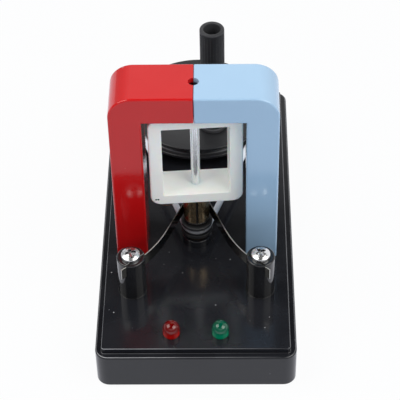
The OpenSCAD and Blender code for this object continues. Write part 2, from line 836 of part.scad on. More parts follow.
// White moulded frame: two flanges, a channel for the wire, hubs on the shaft
module coil_bobbin() {
    color("#e9e8e2") difference() {
        intersection() {
            union() {
                for (n = [-bob_d / 2, bob_d / 2 - flange_t])
                    across_bobbin(n, n + flange_t) rounded_rect(bob_w, bob_h, bob_corner_r);
                across_bobbin(-bob_d / 2 + sink, bob_d / 2 - sink)
                    rounded_rect(channel_w, channel_h, channel_corner_r);
                on_rotor() translate([0, 0, bob_foot_z + hub_inset])
                    cylinder(r = hub_r, h = bob_h - 2 * hub_inset);
            }
            on_rotor() translate([0, 0, bob_foot_z - cut])
                linear_extrude(bob_h + 2 * cut) rounded_rect(bob_w, bob_d, bob_edge_r);
        }
        across_bobbin(-bob_d, bob_d) square([window_w, window_h], center = true);
        on_rotor() translate([0, 0, bob_foot_z - cut]) cylinder(r = shaft_r + glue_gap, h = bob_h + 2 * cut);
        for (k = [0, 1])
            across_bobbin(-bob_d, -channel_d / 2 + glue_gap)
                translate([-bob_w / 2 + wire_hole_in + k * wire_hole_pitch, -bob_h / 2 + wire_hole_up])
                    circle(r = wire_hole_r);
    }
}

// The inner layers of the winding, as one block round the channel
module coil_core() {
    half = channel_d / 2 - fit_gap;
    color("#9c4f22") difference() {
        across_bobbin(-half, half) rounded_rect(pack_w, pack_h, pack_corner_r);
        across_bobbin(-bob_d, bob_d)
            rounded_rect(channel_w + 2 * fit_gap, channel_h + 2 * fit_gap, channel_corner_r + fit_gap);
        on_rotor() translate([0, 0, bob_foot_z - cut]) cylinder(r = hub_r + fit_gap, h = bob_h + 2 * cut);
    }
}

// The outer layer: turns in a front bank and a rear bank, passing the hubs, crossing on one side
function bank_place(turn) =
    turn < bank_turns ? -bank_n + turn * wire_pitch : bank_n - (2 * bank_turns - 1 - turn) * wire_pitch;
function corner_arc(sx, sz, from) = [for (step = [0:arc_steps])
    let (a = from + 90 * step / arc_steps)
    [sx * (layer_half_w - layer_corner_r) + layer_corner_r * cos(a),
     sz * (layer_half_h - layer_corner_r) + layer_corner_r * sin(a)]];
loop_points = concat(
    [[layer_half_w, 0]], corner_arc(1, 1, 0), [[0, layer_half_h]], corner_arc(-1, 1, 90),
    [[-layer_half_w, 0]], corner_arc(-1, -1, 180), [[0, -layer_half_h]], corner_arc(1, -1, 270));
loop_n = len(loop_points);
winding_route = concat(
    [for (turn = [0:2 * bank_turns - 1], i = [0:loop_n - 1])
        let (now = bank_place(turn), before = turn == 0 ? now : bank_place(turn - 1),
            n = i == 0 ? (now + before) / 2 : now)
        [loop_points[i].x, n, loop_points[i].y]],
    [for (z = [-wire_d, 0]) [layer_half_w, bank_place(2 * bank_turns - 1), z]]);
winding_gap = min([for (i = [0:len(winding_route) - 1], j = [i + loop_n / 2:1:len(winding_route) - 1])
    norm(winding_route[i] - winding_route[j])]) - wire_d;
echo(least_winding_gap = winding_gap);

module coil_winding() {
    color("#b5622c") on_rotor() translate([0, 0, bob_mid_z])
        tube(winding_route, wire_d, wire_sides, [0, 1, 0]);
}

// Ends of the winding, down to the two commutator segments
module coil_leads() {
    lead_r = comm_r - segment_t / 2;
    color("#b5622c") on_rotor() both_sides(lead_r) translate([0, 0, comm_top_z])
        cylinder(d = lead_d, h = bob_mid_z - pack_h / 2 - comm_top_z);
}

module commutator_core() {
    color("#26221f") on_rotor() {
        translate([0, 0, comm_z]) ring(comm_core_r, shaft_r + glue_gap, comm_top_z - comm_z);
        translate([0, 0, comm_z]) ring(comm_r, shaft_r + glue_gap, comm_foot_h);
    }
}

module commutator_segments() {
    foot_h = comm_foot_h + glue_gap;
    color("#b38a4a") on_rotor() difference() {
        translate([0, 0, comm_z + foot_h]) ring(comm_r, comm_r - segment_t, comm_top_z - comm_z - foot_h);
        translate([-segment_slot / 2, -comm_r - cut, comm_z])
            cube([segment_slot, 2 * comm_r + 2 * cut, comm_top_z - comm_z + cut]);
    }
}

// A round groove for the belt, cut into a rim of radius r
module belt_groove(r) {
    translate([0, 0, belt_z]) rotate_extrude() {
        translate([r - belt_sink, 0]) circle(r = groove_r);
        translate([r - belt_sink, -groove_r]) square([belt_sink + cut, 2 * groove_r]);
    }
}

module rotor_pulley() {
    color("#1d1e20") on_rotor() difference() {
        union() {
            translate([0, 0, rim_z]) cylinder(r = pulley_r, h = rim_t);
            translate([0, 0, rim_top_z - sink])
                cylinder(r = pulley_hub_r, h = pulley_hub_h + sink - glue_gap);
        }
        translate([0, 0, rim_z - cut]) cylinder(r = shaft_r + glue_gap, h = rim_t + pulley_hub_h + 2 * cut);
        belt_groove(pulley_r);
    }
}

// Round belt, open loop: two arcs and two straight runs, welded where they meet
module drive_belt() {
    run_l = belt_span * cos(belt_lean);
    color("#cfcbd8") translate([0, 0, belt_z]) {
        translate([0, wheel_y, 0]) rotate(-belt_lean) rotate_extrude(angle = 180 + 2 * belt_lean)
            translate([wheel_pitch_r, 0]) circle(d = belt_d);
        translate([0, rotor_y, 0]) rotate(180 + belt_lean) rotate_extrude(angle = 180 - 2 * belt_lean)
            translate([pulley_pitch_r, 0]) circle(d = belt_d);
        for (side = [0, 1])
            mirror([side, 0, 0]) translate([0, rotor_y, 0]) rotate(-belt_lean)
                translate([pulley_pitch_r, 0, 0]) rotate([-90, 0, 0]) {
                    cylinder(d = belt_d, h = run_l);
                    for (z = [0, run_l])
                        translate([0, 0, z - weld_l / 2]) cylinder(r = belt_d / 2 + weld_rise, h = weld_l);
                }
    }
}

// The wheel's own frame: its axis, turned to the rest angle of the crank
module on_wheel() {
    translate([0, wheel_y, 0]) rotate(crank_turn) children();
}

// Grooved wheel: flat top, hollow below, a long hub and a boss for the grip's screw
module drive_wheel() {
    color("#202124") on_wheel() difference() {
        union() {
            difference() {
                translate([0, 0, rim_z]) cylinder(r = wheel_r, h = rim_t);
                translate([0, 0, rim_z - cut]) ring(rim_in_r, hub_out_r, rim_t - web_t + cut);
                belt_groove(wheel_r);
            }
            translate([0, 0, hub_z]) cylinder(r = hub_out_r, h = rim_top_z - hub_z - sink);
            translate([crank_r, 0, rim_z]) cylinder(r = crank_boss_r, h = rim_t - sink);
        }
        translate([0, 0, hub_z - cut]) cylinder(r = axle_d / 2 + run_gap, h = rim_top_z - hub_z + 2 * cut);
        translate([crank_r, 0, rim_z + crank_boss_floor])
            cylinder(r = grip_thread_r + fit_gap, h = rim_t + cut);
    }
}

module thrust_washer() {
    color("#d8d6cc") translate([0, wheel_y, axle_boss_z]) ring(hub_out_r, axle_d / 2 + fit_gap, washer_t);
}

module axle_washer() {
    color("#c3c6c9") translate([0, wheel_y, axle_head_z - washer_t - glue_gap])
        ring(axle_washer_r, axle_d / 2 + fit_gap, washer_t);
}

// Shoulder screw that the wheel turns on
module axle_screw() {
    color("#cfd1d4") translate([0, wheel_y, 0]) {
        translate([0, 0, axle_head_z]) pan_head(axle_head_r);
        translate([0, 0, axle_boss_z]) cylinder(r = axle_d / 2, h = axle_head_z - axle_boss_z + sink);
        translate([0, 0, axle_boss_z - axle_thread_l]) cylinder(r = axle_thread_r, h = axle_thread_l + sink);
    }
}

// Shoulder screw that the grip turns on, its head deep in the hollow
module grip_screw() {
    head_z = grip_z + grip_floor_h + end_play;
    color("#cfd1d4") on_wheel() translate([crank_r, 0, 0]) {
        translate([0, 0, head_z]) cylinder(r = grip_head_r, h = grip_head_h);
        translate([0, 0, rim_top_z]) cylinder(r = grip_screw_r, h = head_z - rim_top_z + sink);
        translate([0, 0, rim_z + crank_boss_floor + fit_gap]) cylinder(r = grip_thread_r, h = rim_t);
    }
}

// Fluted sleeve, hollow from the top
module crank_grip() {
    color("#222326") translate([crank_x, crank_y, grip_z]) difference() {
        union() {
            cylinder(r = grip_r, h = grip_h);
            cylinder(r = grip_foot_r, h = grip_foot_h);
        }
        translate([0, 0, grip_floor_h]) cylinder(r = grip_bore_r, h = grip_h);
        translate([0, 0, -cut]) cylinder(r = grip_screw_r + run_gap, h = grip_floor_h + 2 * cut);
        for (k = [0:grip_flutes - 1])
            rotate(360 * k / grip_flutes) translate([grip_r + flute_out, 0, grip_foot_h + flute_start])
                cylinder(r = flute_r, h = grip_h - grip_foot_h - grip_lip_h - flute_start);
    }
}

base_housing();
bottom_cover();
cover_screws();
rubber_feet();
left_brush_post();
right_brush_post();
left_brush();
right_brush();
brush_screws();
terminal_nuts();
red_led();
green_led();
led_leads();
left_wire();
right_wire();
link_wires();
red_pole_shell();
blue_pole_shell();
red_rear_cover();
blue_rear_cover();
rear_cover_screws();
left_magnet();
right_magnet();
leg_screws();
upper_bearing();
lower_bearing();
rotor_shaft();
coil_bobbin();
coil_core();
coil_winding();
coil_leads();
commutator_core();
commutator_segments();
rotor_pulley();
drive_belt();
drive_wheel();
thrust_washer();
axle_washer();
axle_screw();
grip_screw();
crank_grip();
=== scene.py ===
import bmesh
import bpy
import numpy as np
from mathutils import Matrix


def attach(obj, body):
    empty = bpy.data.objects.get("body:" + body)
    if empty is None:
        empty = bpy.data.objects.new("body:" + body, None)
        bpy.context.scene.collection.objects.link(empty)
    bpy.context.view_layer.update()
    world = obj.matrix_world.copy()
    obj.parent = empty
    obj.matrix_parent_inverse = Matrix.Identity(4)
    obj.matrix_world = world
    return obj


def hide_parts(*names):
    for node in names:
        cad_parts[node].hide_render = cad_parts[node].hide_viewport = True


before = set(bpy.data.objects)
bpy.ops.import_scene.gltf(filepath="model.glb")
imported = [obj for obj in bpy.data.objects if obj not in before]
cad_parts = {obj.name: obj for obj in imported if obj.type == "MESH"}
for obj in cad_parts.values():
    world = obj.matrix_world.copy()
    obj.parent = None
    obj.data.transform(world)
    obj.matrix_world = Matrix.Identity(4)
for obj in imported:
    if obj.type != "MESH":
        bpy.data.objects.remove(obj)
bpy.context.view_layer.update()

# The base housing: a black two-tier box that carries everything, moulded in one piece in glossy styrene.
# It is hollow below. Two short bosses on its panel take the rotor's lower bush and the wheel's axle.
# Sizes are in millimetres all through this file, and go into the meshes in metres.
mm = 0.001
base_mid_y, base_half_w, base_half_l = -2.3, 29.2, 58.0
underside_z, ceiling_z, ledge_z, panel_z = 0.5, 12.5, 12.7, 14.7
ledge_w, base_wall, ceiling_run, panel_run = 1.9, 2.2, 6.0, 3.0
tier_corner_r, panel_corner_r = 3.8, 0.9
ledge_edge_r, step_r, panel_edge_r = 0.5, 0.2, 0.2
rotor_y, wheel_y = -14.4, 38.0


def unit(v):
    """Vectors at length 1: each is divided by its own length."""
    return v / np.linalg.norm(v, axis=-1, keepdims=True)


def soften(points, radii, steps=6, guard=0.02, ring=False):
    """A profile with round corners. At each inner point both sides are cut back by r / tan(half angle), an arc of
    radius r that is tangent to both takes the corner, and a guard point beyond each end keeps the flats flat in
    shading. A ring has all its corners rounded."""
    p, r = np.asarray(points, float), np.asarray(radii, float)[:, None]
    if ring:
        p = np.vstack([p[-1:], p, p[:1]])
    back, on = unit(p[:-2] - p[1:-1]), unit(p[2:] - p[1:-1])
    half = 0.5 * np.arccos(np.clip((back * on).sum(1, keepdims=True), -1, 1))
    centre = p[1:-1] + unit(back + on) * r / np.sin(half)
    start, end = p[1:-1] + back * r / np.tan(half), p[1:-1] + on * r / np.tan(half)
    part = np.linspace(0, 1, steps)[None, :, None]
    swing = (np.pi - 2 * half)[:, None]
    arc = np.sin((1 - part) * swing) * (start - centre)[:, None] + np.sin(part * swing) * (end - centre)[:, None]
    arc = centre[:, None] + arc / np.sin(swing)
    arc = np.concatenate([(start + guard * back)[:, None], arc, (end + guard * on)[:, None]], 1)
    arc = arc.reshape(-1, p.shape[1])
    return arc if ring else np.vstack([p[:1], arc, p[-1:]])


def round_rects(half_x, half_y, corner_r, steps=8, guard=0.02):
    """Round-cornered rectangles, one for each row: a quarter arc of radius r about (+-(hx - r), +-(hy - r)) at each
    corner, anticlockwise, with a guard point on the straight just before and after each arc."""
    half_x, half_y, r = (np.asarray(v, float).reshape(-1, 1, 1) for v in (half_x, half_y, corner_r))
    turn = np.r_[0, np.linspace(0, np.pi / 2, steps), np.pi / 2] + np.arange(4)[:, None] * np.pi / 2
    along = np.r_[-guard, np.zeros(steps), guard]
    sx, sy = np.array([[1], [-1], [-1], [1]]), np.array([[1], [1], [-1], [-1]])
    x = sx * (half_x - r) + r * np.cos(turn) - along * np.sin(turn)
    y = sy * (half_y - r) + r * np.sin(turn) + along * np.cos(turn)
    return np.stack([x.reshape(len(x), -1), y.reshape(len(y), -1)], -1)


def points_of(x, y, z):
    """Puts three arrays of coordinates together into one array of points."""
    return np.stack(np.broadcast_arrays(x, y, z), -1)


def skin(grid, closed=False):
    """Faces over a (rows, columns, 3) grid: each quad joins a point to the next column and the next row, and the last
    column joins the first. Closed joins the last row to the first too; otherwise a flat face caps each end row."""
    rows, columns = grid.shape[:2]
    i, j = np.arange(rows if closed else rows - 1)[:, None], np.arange(columns)
    here, above, beside = i * columns, (i + 1) % rows * columns, (j + 1) % columns
    faces = [np.stack([here + j, here + beside, above + beside, above + j], -1).reshape(-1, 4)]
    if not closed:
        faces.append(np.stack([j[::-1], (rows - 1) * columns + j]))
    return grid.reshape(-1, 3), faces


def turned(profile, middle, around=64, closed=False):
    """A turned form's skin: each (radius, height) of the profile goes round the upright axis through middle."""
    a = np.linspace(0, 2 * np.pi, around, endpoint=False)
    r, z = np.hsplit(np.asarray(profile, float), 2)
    return skin(points_of(middle[0] + r * np.cos(a), middle[1] + r * np.sin(a), z), closed)


def shell_mesh(name, skins):
    """Joins closed skins into one mesh and points its faces outwards."""
    starts = np.cumsum([0] + [len(points) for points, _ in skins])
    faces = sum([(start + block).tolist() for start, (_, blocks) in zip(starts, skins) for block in blocks], [])
    mesh = bpy.data.meshes.new(name)
    mesh.from_pydata(np.vstack([points for points, _ in skins]) * mm, [], faces)
    shell = bmesh.new()
    shell.from_mesh(mesh)
    bmesh.ops.recalc_face_normals(shell, faces=shell.faces)
    shell.to_mesh(mesh)
    shell.free()
    return mesh


def make_piece(name, skins, finish, body, node=None, sharp=34):
    """Makes one piece of closed skins, with creases above an angle, puts it under its body and hides its CAD node."""
    mesh = shell_mesh(name, skins)
    mesh.shade_smooth()
    mesh.set_sharp_from_angle(angle=np.radians(sharp))
    mesh.materials.append(finish)
    piece = bpy.data.objects.new(name, mesh)
    bpy.context.scene.collection.objects.link(piece)
    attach(piece, body)
    if node:
        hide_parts(node)
    return piece


def put(tree, kind, inputs=(), **settings):
    """Adds a node to a tree, gives it its settings, then sets or links the inputs named in the dict."""
    node = tree.nodes.new(kind)
    for key, value in settings.items():
        setattr(node, key, value)
    for key, value in dict(inputs).items():
        if isinstance(value, bpy.types.NodeSocket):
            tree.links.new(value, node.inputs[key])
        else:
            node.inputs[key].default_value = value
    return node


def work_out(tree, operation, first, second=0.0):
    """One step of arithmetic between two values or sockets."""
    return put(tree, "ShaderNodeMath", {0: first, 1: second}, operation=operation).outputs[0]


def spread(tree, value, low, high, to_low=0.0, to_high=1.0):
    """Carries a value from low...high to to_low...to_high along a smooth step."""
    return put(tree, "ShaderNodeMapRange", {0: value, 1: low, 2: high, 3: to_low, 4: to_high},
               interpolation_type="SMOOTHSTEP").outputs[0]


def blend_tint(tree, share, first, second):
    """One colour going over to another by a share from 0 to 1."""
    first, second = ((*tint, 1) if isinstance(tint, tuple) else tint for tint in (first, second))
    return put(tree, "ShaderNodeMix", {0: share, 6: first, 7: second}, data_type="RGBA").outputs[2]


def axis_of(tree, coordinate, axis):
    """One axis, 0 to 2, of a texture coordinate such as Object or Normal."""
    place = put(tree, "ShaderNodeTexCoord").outputs[coordinate]
    return put(tree, "ShaderNodeSeparateXYZ", {0: place}).outputs[axis]


def noise(tree, size, detail, place=None):
    """Noise of a size and detail over a place, or else over the Object coordinates."""
    if place is None:
        place = put(tree, "ShaderNodeTexCoord").outputs["Object"]
    return put(tree, "ShaderNodeTexNoise", {"Vector": place, "Scale": size, "Detail": detail}).outputs[0]


def marked(tree, label):
    """The shares that a piece carries under a label."""
    return put(tree, "ShaderNodeAttribute", attribute_name=label).outputs["Fac"]


def new_effect(name, takes, gives):
    """An empty shader group with number inputs at their usual values and number outputs."""
    tree = bpy.data.node_groups.new(name, "ShaderNodeTree")
    for label, usual in takes.items():
        tree.interface.new_socket(label, in_out="INPUT", socket_type="NodeSocketFloat").default_value = usual
    for label in gives:
        tree.interface.new_socket(label, in_out="OUTPUT", socket_type="NodeSocketFloat")
    return tree, tree.nodes.new("NodeGroupInput").outputs, tree.nodes.new("NodeGroupOutput").inputs


# Moulded skin: a slow cloudiness from the flow of the plastic, and the faint orange peel of a polished tool.
moulded_skin, take, give = new_effect("moulded_skin", {"Flow Size": 90.0, "Peel Size": 900.0}, ["Flow", "Peel"])
cloudiness = spread(moulded_skin, noise(moulded_skin, take["Flow Size"], 3.0), 0.3, 0.7)
moulded_skin.links.new(cloudiness, give["Flow"])
moulded_skin.links.new(noise(moulded_skin, take["Peel Size"], 1.0), give["Peel"])

# Settled dust: single grains in a share of the cells of a Voronoi pattern, fewer and fainter on upright faces.
settled_dust, take, give = new_effect("settled_dust", {"Grain Size": 700.0, "Share": 0.1}, ["Grains"])
tree = settled_dust
place = put(tree, "ShaderNodeTexCoord").outputs["Object"]
cells = put(tree, "ShaderNodeTexVoronoi", {"Vector": place, "Scale": take["Grain Size"]}).outputs
chance = put(tree, "ShaderNodeSeparateColor", {0: cells["Color"]}).outputs
chosen = work_out(tree, "LESS_THAN", chance[0], take["Share"])
reach = spread(tree, chance[1], 0.0, 1.0, 0.05, 0.2)
grain = spread(tree, work_out(tree, "DIVIDE", cells["Distance"], reach), 1.0, 0.4)
settled = spread(tree, axis_of(tree, "Normal", 2), 0.1, 0.9, 0.35, 1.0)
grain = work_out(tree, "MULTIPLY", work_out(tree, "MULTIPLY", grain, chosen), settled)
tree.links.new(grain, give["Grains"])

# Rub marks: fine hairlines from handling, two sets of stretched noise that cross at a flat angle.
rub_marks, take, give = new_effect("rub_marks", {"Line Size": 60.0, "Amount": 0.5}, ["Marks"])
tree = rub_marks
place = put(tree, "ShaderNodeTexCoord").outputs["Object"]
sets = []
for lay in (0.5, -0.9):
    laid = put(tree, "ShaderNodeMapping", {"Vector": place, "Rotation": (0.2, lay, lay), "Scale": (1.0, 45.0, 20.0)})
    sets.append(spread(tree, noise(tree, take["Line Size"], 2.0, laid.outputs[0]), 0.62, 0.74))
crossed = work_out(tree, "MAXIMUM", *sets)
tree.links.new(work_out(tree, "MULTIPLY", crossed, take["Amount"]), give["Marks"])

# Painted edge tone: painted highlights and painted shade along lines a piece's shares mark, broken up by the flow.
painted_edge_tone, take, give = new_effect("painted_edge_tone", {"Flow": 1.0}, ["Worn"])
broken = spread(painted_edge_tone, take["Flow"], 0, 1, 0.6, 1.0)
painted_edge_tone.links.new(work_out(painted_edge_tone, "MULTIPLY", marked(painted_edge_tone, "painted_light_and_shade"), broken), give["Worn"])


def lay_on(tree, effect, inputs=()):
    """Places an effect in a material with its own values, and gives its outputs."""
    return put(tree, "ShaderNodeGroup", inputs, node_tree=effect).outputs


def new_finish(name):
    """A new material, its node tree and its shader's inputs."""
    finish = bpy.data.materials.new(name)
    finish.use_nodes = True
    return finish, finish.node_tree, finish.node_tree.nodes["Principled BSDF"].inputs


def link_up(tree, surface, colour, rough, height, strength, depth):
    """Links a colour, a roughness, and a bump of a strength and depth to a shader's inputs."""
    bump = put(tree, "ShaderNodeBump", {"Height": height, "Strength": strength, "Distance": depth}).outputs[0]
    for label, value in (("Base Color", colour), ("Roughness", rough), ("Normal", bump)):
        tree.links.new(value, surface[label])


dust_tint, dust_cover, dust_dulling = (0.42, 0.42, 0.43), 0.7, 0.4
edge_blue, flow_dulling, peel_depth = 1.04, 1.25, 0.0002


def plastic(name, tint, deep, gloss, wear=0.06, dust=0.0, peel=0.04, flow_size=90.0, peel_size=900.0, shine=1.5,
            edge=0.0, shade=None):
    """A moulded plastic: tint going to deep with the flow, hairlines that dull the gloss, dust grains on top, and
    marked lines in a painted grey of their own, painted highlights and painted shade. A shade function may change its
    colour and roughness further."""
    finish, tree, surface = new_finish(name)
    cast = lay_on(tree, moulded_skin, {"Flow Size": flow_size, "Peel Size": peel_size})
    colour = blend_tint(tree, cast["Flow"], tint, deep)
    dulled = work_out(tree, "MULTIPLY", lay_on(tree, rub_marks)["Marks"], wear)
    rough = work_out(tree, "ADD", spread(tree, cast["Flow"], 0, 1, gloss, gloss * flow_dulling), dulled)
    if dust:
        grains = lay_on(tree, settled_dust, {"Share": dust})["Grains"]
        colour = blend_tint(tree, work_out(tree, "MULTIPLY", grains, dust_cover), colour, dust_tint)
        rough = work_out(tree, "ADD", rough, work_out(tree, "MULTIPLY", grains, dust_dulling))
    # The edge grey is painted light: a pale painted highlight on edges and ridges, near-black painted shade in holes.
    if edge:
        painted_tone = lay_on(tree, painted_edge_tone, {"Flow": cast["Flow"]})["Worn"]
        colour = blend_tint(tree, painted_tone, colour, (edge, edge, edge * edge_blue))
    if shade:
        colour, rough = shade(tree, colour, rough)
    link_up(tree, surface, colour, rough, cast["Peel"], peel, peel_depth)
    surface["IOR"].default_value = shine
    return finish


gloss_black = plastic("gloss_black", (0.0108, 0.0114, 0.0142), (0.0132, 0.0138, 0.017), 0.14, wear=0.08, dust=0.05,
                      peel=0.02, shine=1.44, edge=0.48)

# The wall's profile, from the ceiling inside, down to the rim, up the side, over the ledge and onto the panel.
wall_path = soften(
    [(base_wall + ceiling_run, ceiling_z), (base_wall, ceiling_z), (base_wall, underside_z), (0, underside_z),
     (0, ledge_z), (ledge_w, ledge_z), (ledge_w, panel_z), (ledge_w + panel_run, panel_z)],
    [1.0, 0.2, 0.3, ledge_edge_r, step_r, panel_edge_r])
inset, height = wall_path.T
corner_r = np.interp(
    inset, [0, ledge_edge_r, ledge_w - step_r, ledge_w, ledge_w + panel_edge_r, ledge_w + panel_run],
    [tier_corner_r, tier_corner_r - ledge_edge_r, panel_corner_r + step_r, panel_corner_r,
     panel_corner_r - panel_edge_r, 0.5])
inside = np.arange(len(inset)) < np.argmax(height < underside_z + 0.15)
corner_r[inside] = np.interp(inset[inside], [0, base_wall, base_wall + ceiling_run],
                             [tier_corner_r, tier_corner_r - base_wall, 0.6])
plan = round_rects(base_half_w - inset, base_half_l - inset, corner_r, steps=10)
walls = points_of(plan[..., 0], plan[..., 1] + base_mid_y, height[:, None])


def boss(bore_r, boss_r, top_z, edge_r, y):
    """A turned boss that stands in the panel: a bored cylinder with a rounded upper edge."""
    low_z = panel_z - 1
    profile = soften([(bore_r, low_z), (bore_r, top_z), (boss_r, top_z), (boss_r, low_z), (bore_r, low_z)],
                     [0.1, edge_r, 0.05])
    return turned(profile[:-1], (0, y), closed=True)


rotor_boss = boss(bore_r=2.65, boss_r=4.39, top_z=17.3, edge_r=0.35, y=rotor_y)
axle_boss = boss(bore_r=2.05, boss_r=5.5, top_z=16.3, edge_r=0.3, y=wheel_y)
base_shell = make_piece("base_shell", [skin(walls), rotor_boss, axle_boss], gloss_black, "base",
                        "base_housing", sharp=50)


def painted_line(profile, at, width, full=1.0):
    """A painted line along a profile: full less the distance from a point over the width, held between 0 and 1."""
    return np.clip(full - np.hypot(*(profile - np.array(at)).T) / width, 0, 1)


def mark(piece, label, shares):
    """Writes shares on a mesh's first points, for its finish to read under a label; the other points get 0."""
    filled = np.zeros(len(piece.data.vertices))
    filled[:shares.size] = shares.ravel()
    piece.data.attributes.new(label, "FLOAT", "POINT").data.foreach_set("value", filled)


# Painted highlights on the panel's edge, the ledge's edge and, fainter, the corner between them, most at the front
# left.
edge_highlight = painted_line(wall_path, (ledge_w + 0.05, panel_z - 0.05), 0.13)
edge_highlight += painted_line(wall_path, (0.345, ledge_z - 0.024), 0.15)
edge_highlight += 0.4 * painted_line(wall_path, (ledge_w - 0.135, ledge_z + 0.01), 0.08)
corner_highlight = np.linspace([0.45, 0.45, 0.45, 0.05], [0.45, 0.45, 1.0, 0.45], walls.shape[1] // 4).T.ravel()
mark(base_shell, "painted_light_and_shade", edge_highlight[:, None] * corner_highlight)

# The bottom cover: a flat plate let in flush with the housing's rim, held by four sunk cross-recess screws.
# Four self-gripping rubber feet are pressed into its seats and stand half a millimetre proud.
foot_x, foot_y, foot_r, foot_top_z = 19.2, 45, 4.5, 1.3
satin_black = plastic("satin_black", (0.014, 0.014, 0.015), (0.02, 0.02, 0.021), 0.3, wear=0.1, peel=0.12,
                      peel_size=1600.0)


def dress(finish, *nodes):
    """Gives CAD nodes their finish in place of the plain one."""
    for node in nodes:
        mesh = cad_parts[node].data
        mesh.materials.clear()
        mesh.materials.append(finish)


dress(satin_black, "bottom_cover")
foot_rubber = plastic("foot_rubber", (0.03, 0.03, 0.03), (0.045, 0.044, 0.042), 0.75, wear=0.1, peel=0.3,
                      peel_size=2500.0)
foot_profile = soften([(0.05, 0.0), (foot_r, 0.0), (foot_r, foot_top_z), (0.05, foot_top_z)], [0.35, 0.1])
feet = [turned(foot_profile, (x, base_mid_y + y), 40) for x in (-foot_x, foot_x) for y in (-foot_y, foot_y)]
make_piece("feet", feet, foot_rubber, "base", "rubber_feet")

# Drawn lines: the fine streaks that rolling, drawing or turning leaves on metal, along or round the piece.
stretches = [f"Stretch {axis}" for axis in "XYZ"]
drawn_lines, take, give = new_effect("drawn_lines", {**dict.fromkeys(stretches, 1.0), "Size": 900.0}, ["Lines"])
tree = drawn_lines
pull = put(tree, "ShaderNodeCombineXYZ", {i: take[label] for i, label in enumerate(stretches)}).outputs[0]
place = put(tree, "ShaderNodeTexCoord").outputs["Object"]
pulled = put(tree, "ShaderNodeVectorMath", {0: place, 1: pull}, operation="MULTIPLY").outputs[0]
tree.links.new(spread(tree, noise(tree, take["Size"], 3.0, pulled), 0.35, 0.65), give["Lines"])

line_dulling, mark_dulling, line_depth = 1.6, 0.15, 0.00005


def metal(name, bright, dull, gloss, pull=(1.0, 1.0, 1.0), line_size=900.0, peel=0.06, shade=None):
    """A metal: bright going to dull along its drawn lines, which also roughen it, under fine hairlines. A shade
    function may change its colour and roughness further."""
    finish, tree, surface = new_finish(name)
    lines = lay_on(tree, drawn_lines, {**dict(zip(stretches, pull)), "Size": line_size})["Lines"]
    dulled = work_out(tree, "MULTIPLY", lay_on(tree, rub_marks)["Marks"], mark_dulling)
    colour = blend_tint(tree, lines, bright, dull)
    rough = work_out(tree, "ADD", spread(tree, lines, 0, 1, gloss, gloss * line_dulling), dulled)
    if shade:
        colour, rough = shade(tree, colour, rough)
    link_up(tree, surface, colour, rough, lines, peel, line_depth)
    surface["Metallic"].default_value = 1.0
    return finish


zinc_steel = metal("zinc_steel", (0.62, 0.63, 0.65), (0.5, 0.5, 0.5), 0.28, line_size=2500.0)
dress(zinc_steel, "cover_screws")

# The two brush posts: slightly tapered pins with a bead at the foot, moulded in the same glossy black styrene.
# A slot across the top, in front of the screw, grips the brush strip. A spigot goes through the panel to a nut.
post_x, post_y, post_top_z = 18.95, -35.3, 29.0
post_top_r, post_foot_r, post_bead_r, post_bead_z = 4.15, 4.18, 4.32, panel_z + 0.25
spigot_r, post_bore_r = 2.5, 1.55
strip_t, strip_z0, strip_z1 = 0.3, 24.45, 28.45
tip_angle, tail_angle = np.radians(67), np.radians(41)
slot_offset, bend_r, tail_past, tip_past, contact_r = 2.05, 34.0, 5.2, 1.6, 4.2
hands = ((-1, "left"), (1, "right"))
post_black = plastic("post_black", (0.012, 0.012, 0.013), (0.016, 0.016, 0.018), 0.07, wear=0.1, dust=0.03, peel=0.03)


def strip_line(bend_steps=24, end_steps=12):
    """The right-hand strip's middle line in plan, with its sideways direction: the tail line and the tip line are
    joined by an arc of the bend radius, tangent to both, and each ends a set length past its post or its contact."""
    turn = np.linspace(tail_angle, tip_angle, bend_steps)[:, None]
    bend_way, bend_side = np.hstack([-np.cos(turn), np.sin(turn)]), np.hstack([np.sin(turn), np.cos(turn)])
    tail_way, tail_side, tip_way, tip_side = bend_way[0], bend_side[0], bend_way[-1], bend_side[-1]
    post, axis = np.array([post_x, post_y]), np.array([0.0, rotor_y])
    knee = np.linalg.solve([tip_side, tail_side], [tip_side @ axis + contact_r, tail_side @ post - slot_offset])
    run = bend_r * np.tan((tip_angle - tail_angle) / 2)
    bend = knee - run * tail_way + bend_r * tail_side - bend_r * bend_side
    tail_end = knee - ((knee - post) @ tail_way + tail_past) * tail_way
    tip_end = knee + tip_way * (np.linalg.norm(axis + contact_r * tip_side - knee) + tip_past)
    tail = tail_end + np.r_[0, 0.004, np.linspace(0.1, 1, end_steps - 2)][:, None] * (bend[0] - tail_end)
    tip = bend[-1] + np.linspace(0, 1, end_steps)[:, None] * (tip_end - bend[-1])
    side = np.vstack([np.tile(tail_side, (end_steps, 1)), bend_side[1:-1], np.tile(tip_side, (end_steps, 1))])
    return np.vstack([tail, bend[1:-1], tip]), side


def bent_strip(hand, section):
    """A section carried along the strip's middle line: sideways by its first value and upright by its second."""
    line, side = strip_line()
    strip_plan = line[:, None] + section[:, :1] * side[:, None]
    return points_of(hand * strip_plan[..., 0], strip_plan[..., 1], section[:, 1])


def carve(piece, cutters):
    """Takes closed cutter skins out of a piece with an exact Boolean, and keeps the result in its mesh."""
    cutter = bpy.data.objects.new("cutter", shell_mesh("cutter", cutters))
    bpy.context.scene.collection.objects.link(cutter)
    cut = piece.modifiers.new("cut", "BOOLEAN")
    cut.operation, cut.solver, cut.object = "DIFFERENCE", "EXACT", cutter
    done = bpy.data.meshes.new_from_object(piece.evaluated_get(bpy.context.evaluated_depsgraph_get()))
    piece.modifiers.clear()
    piece.data = done
    done.name = piece.name
    bpy.data.objects.remove(cutter)
    done.shade_smooth()
    done.set_sharp_from_angle(angle=np.radians(34))


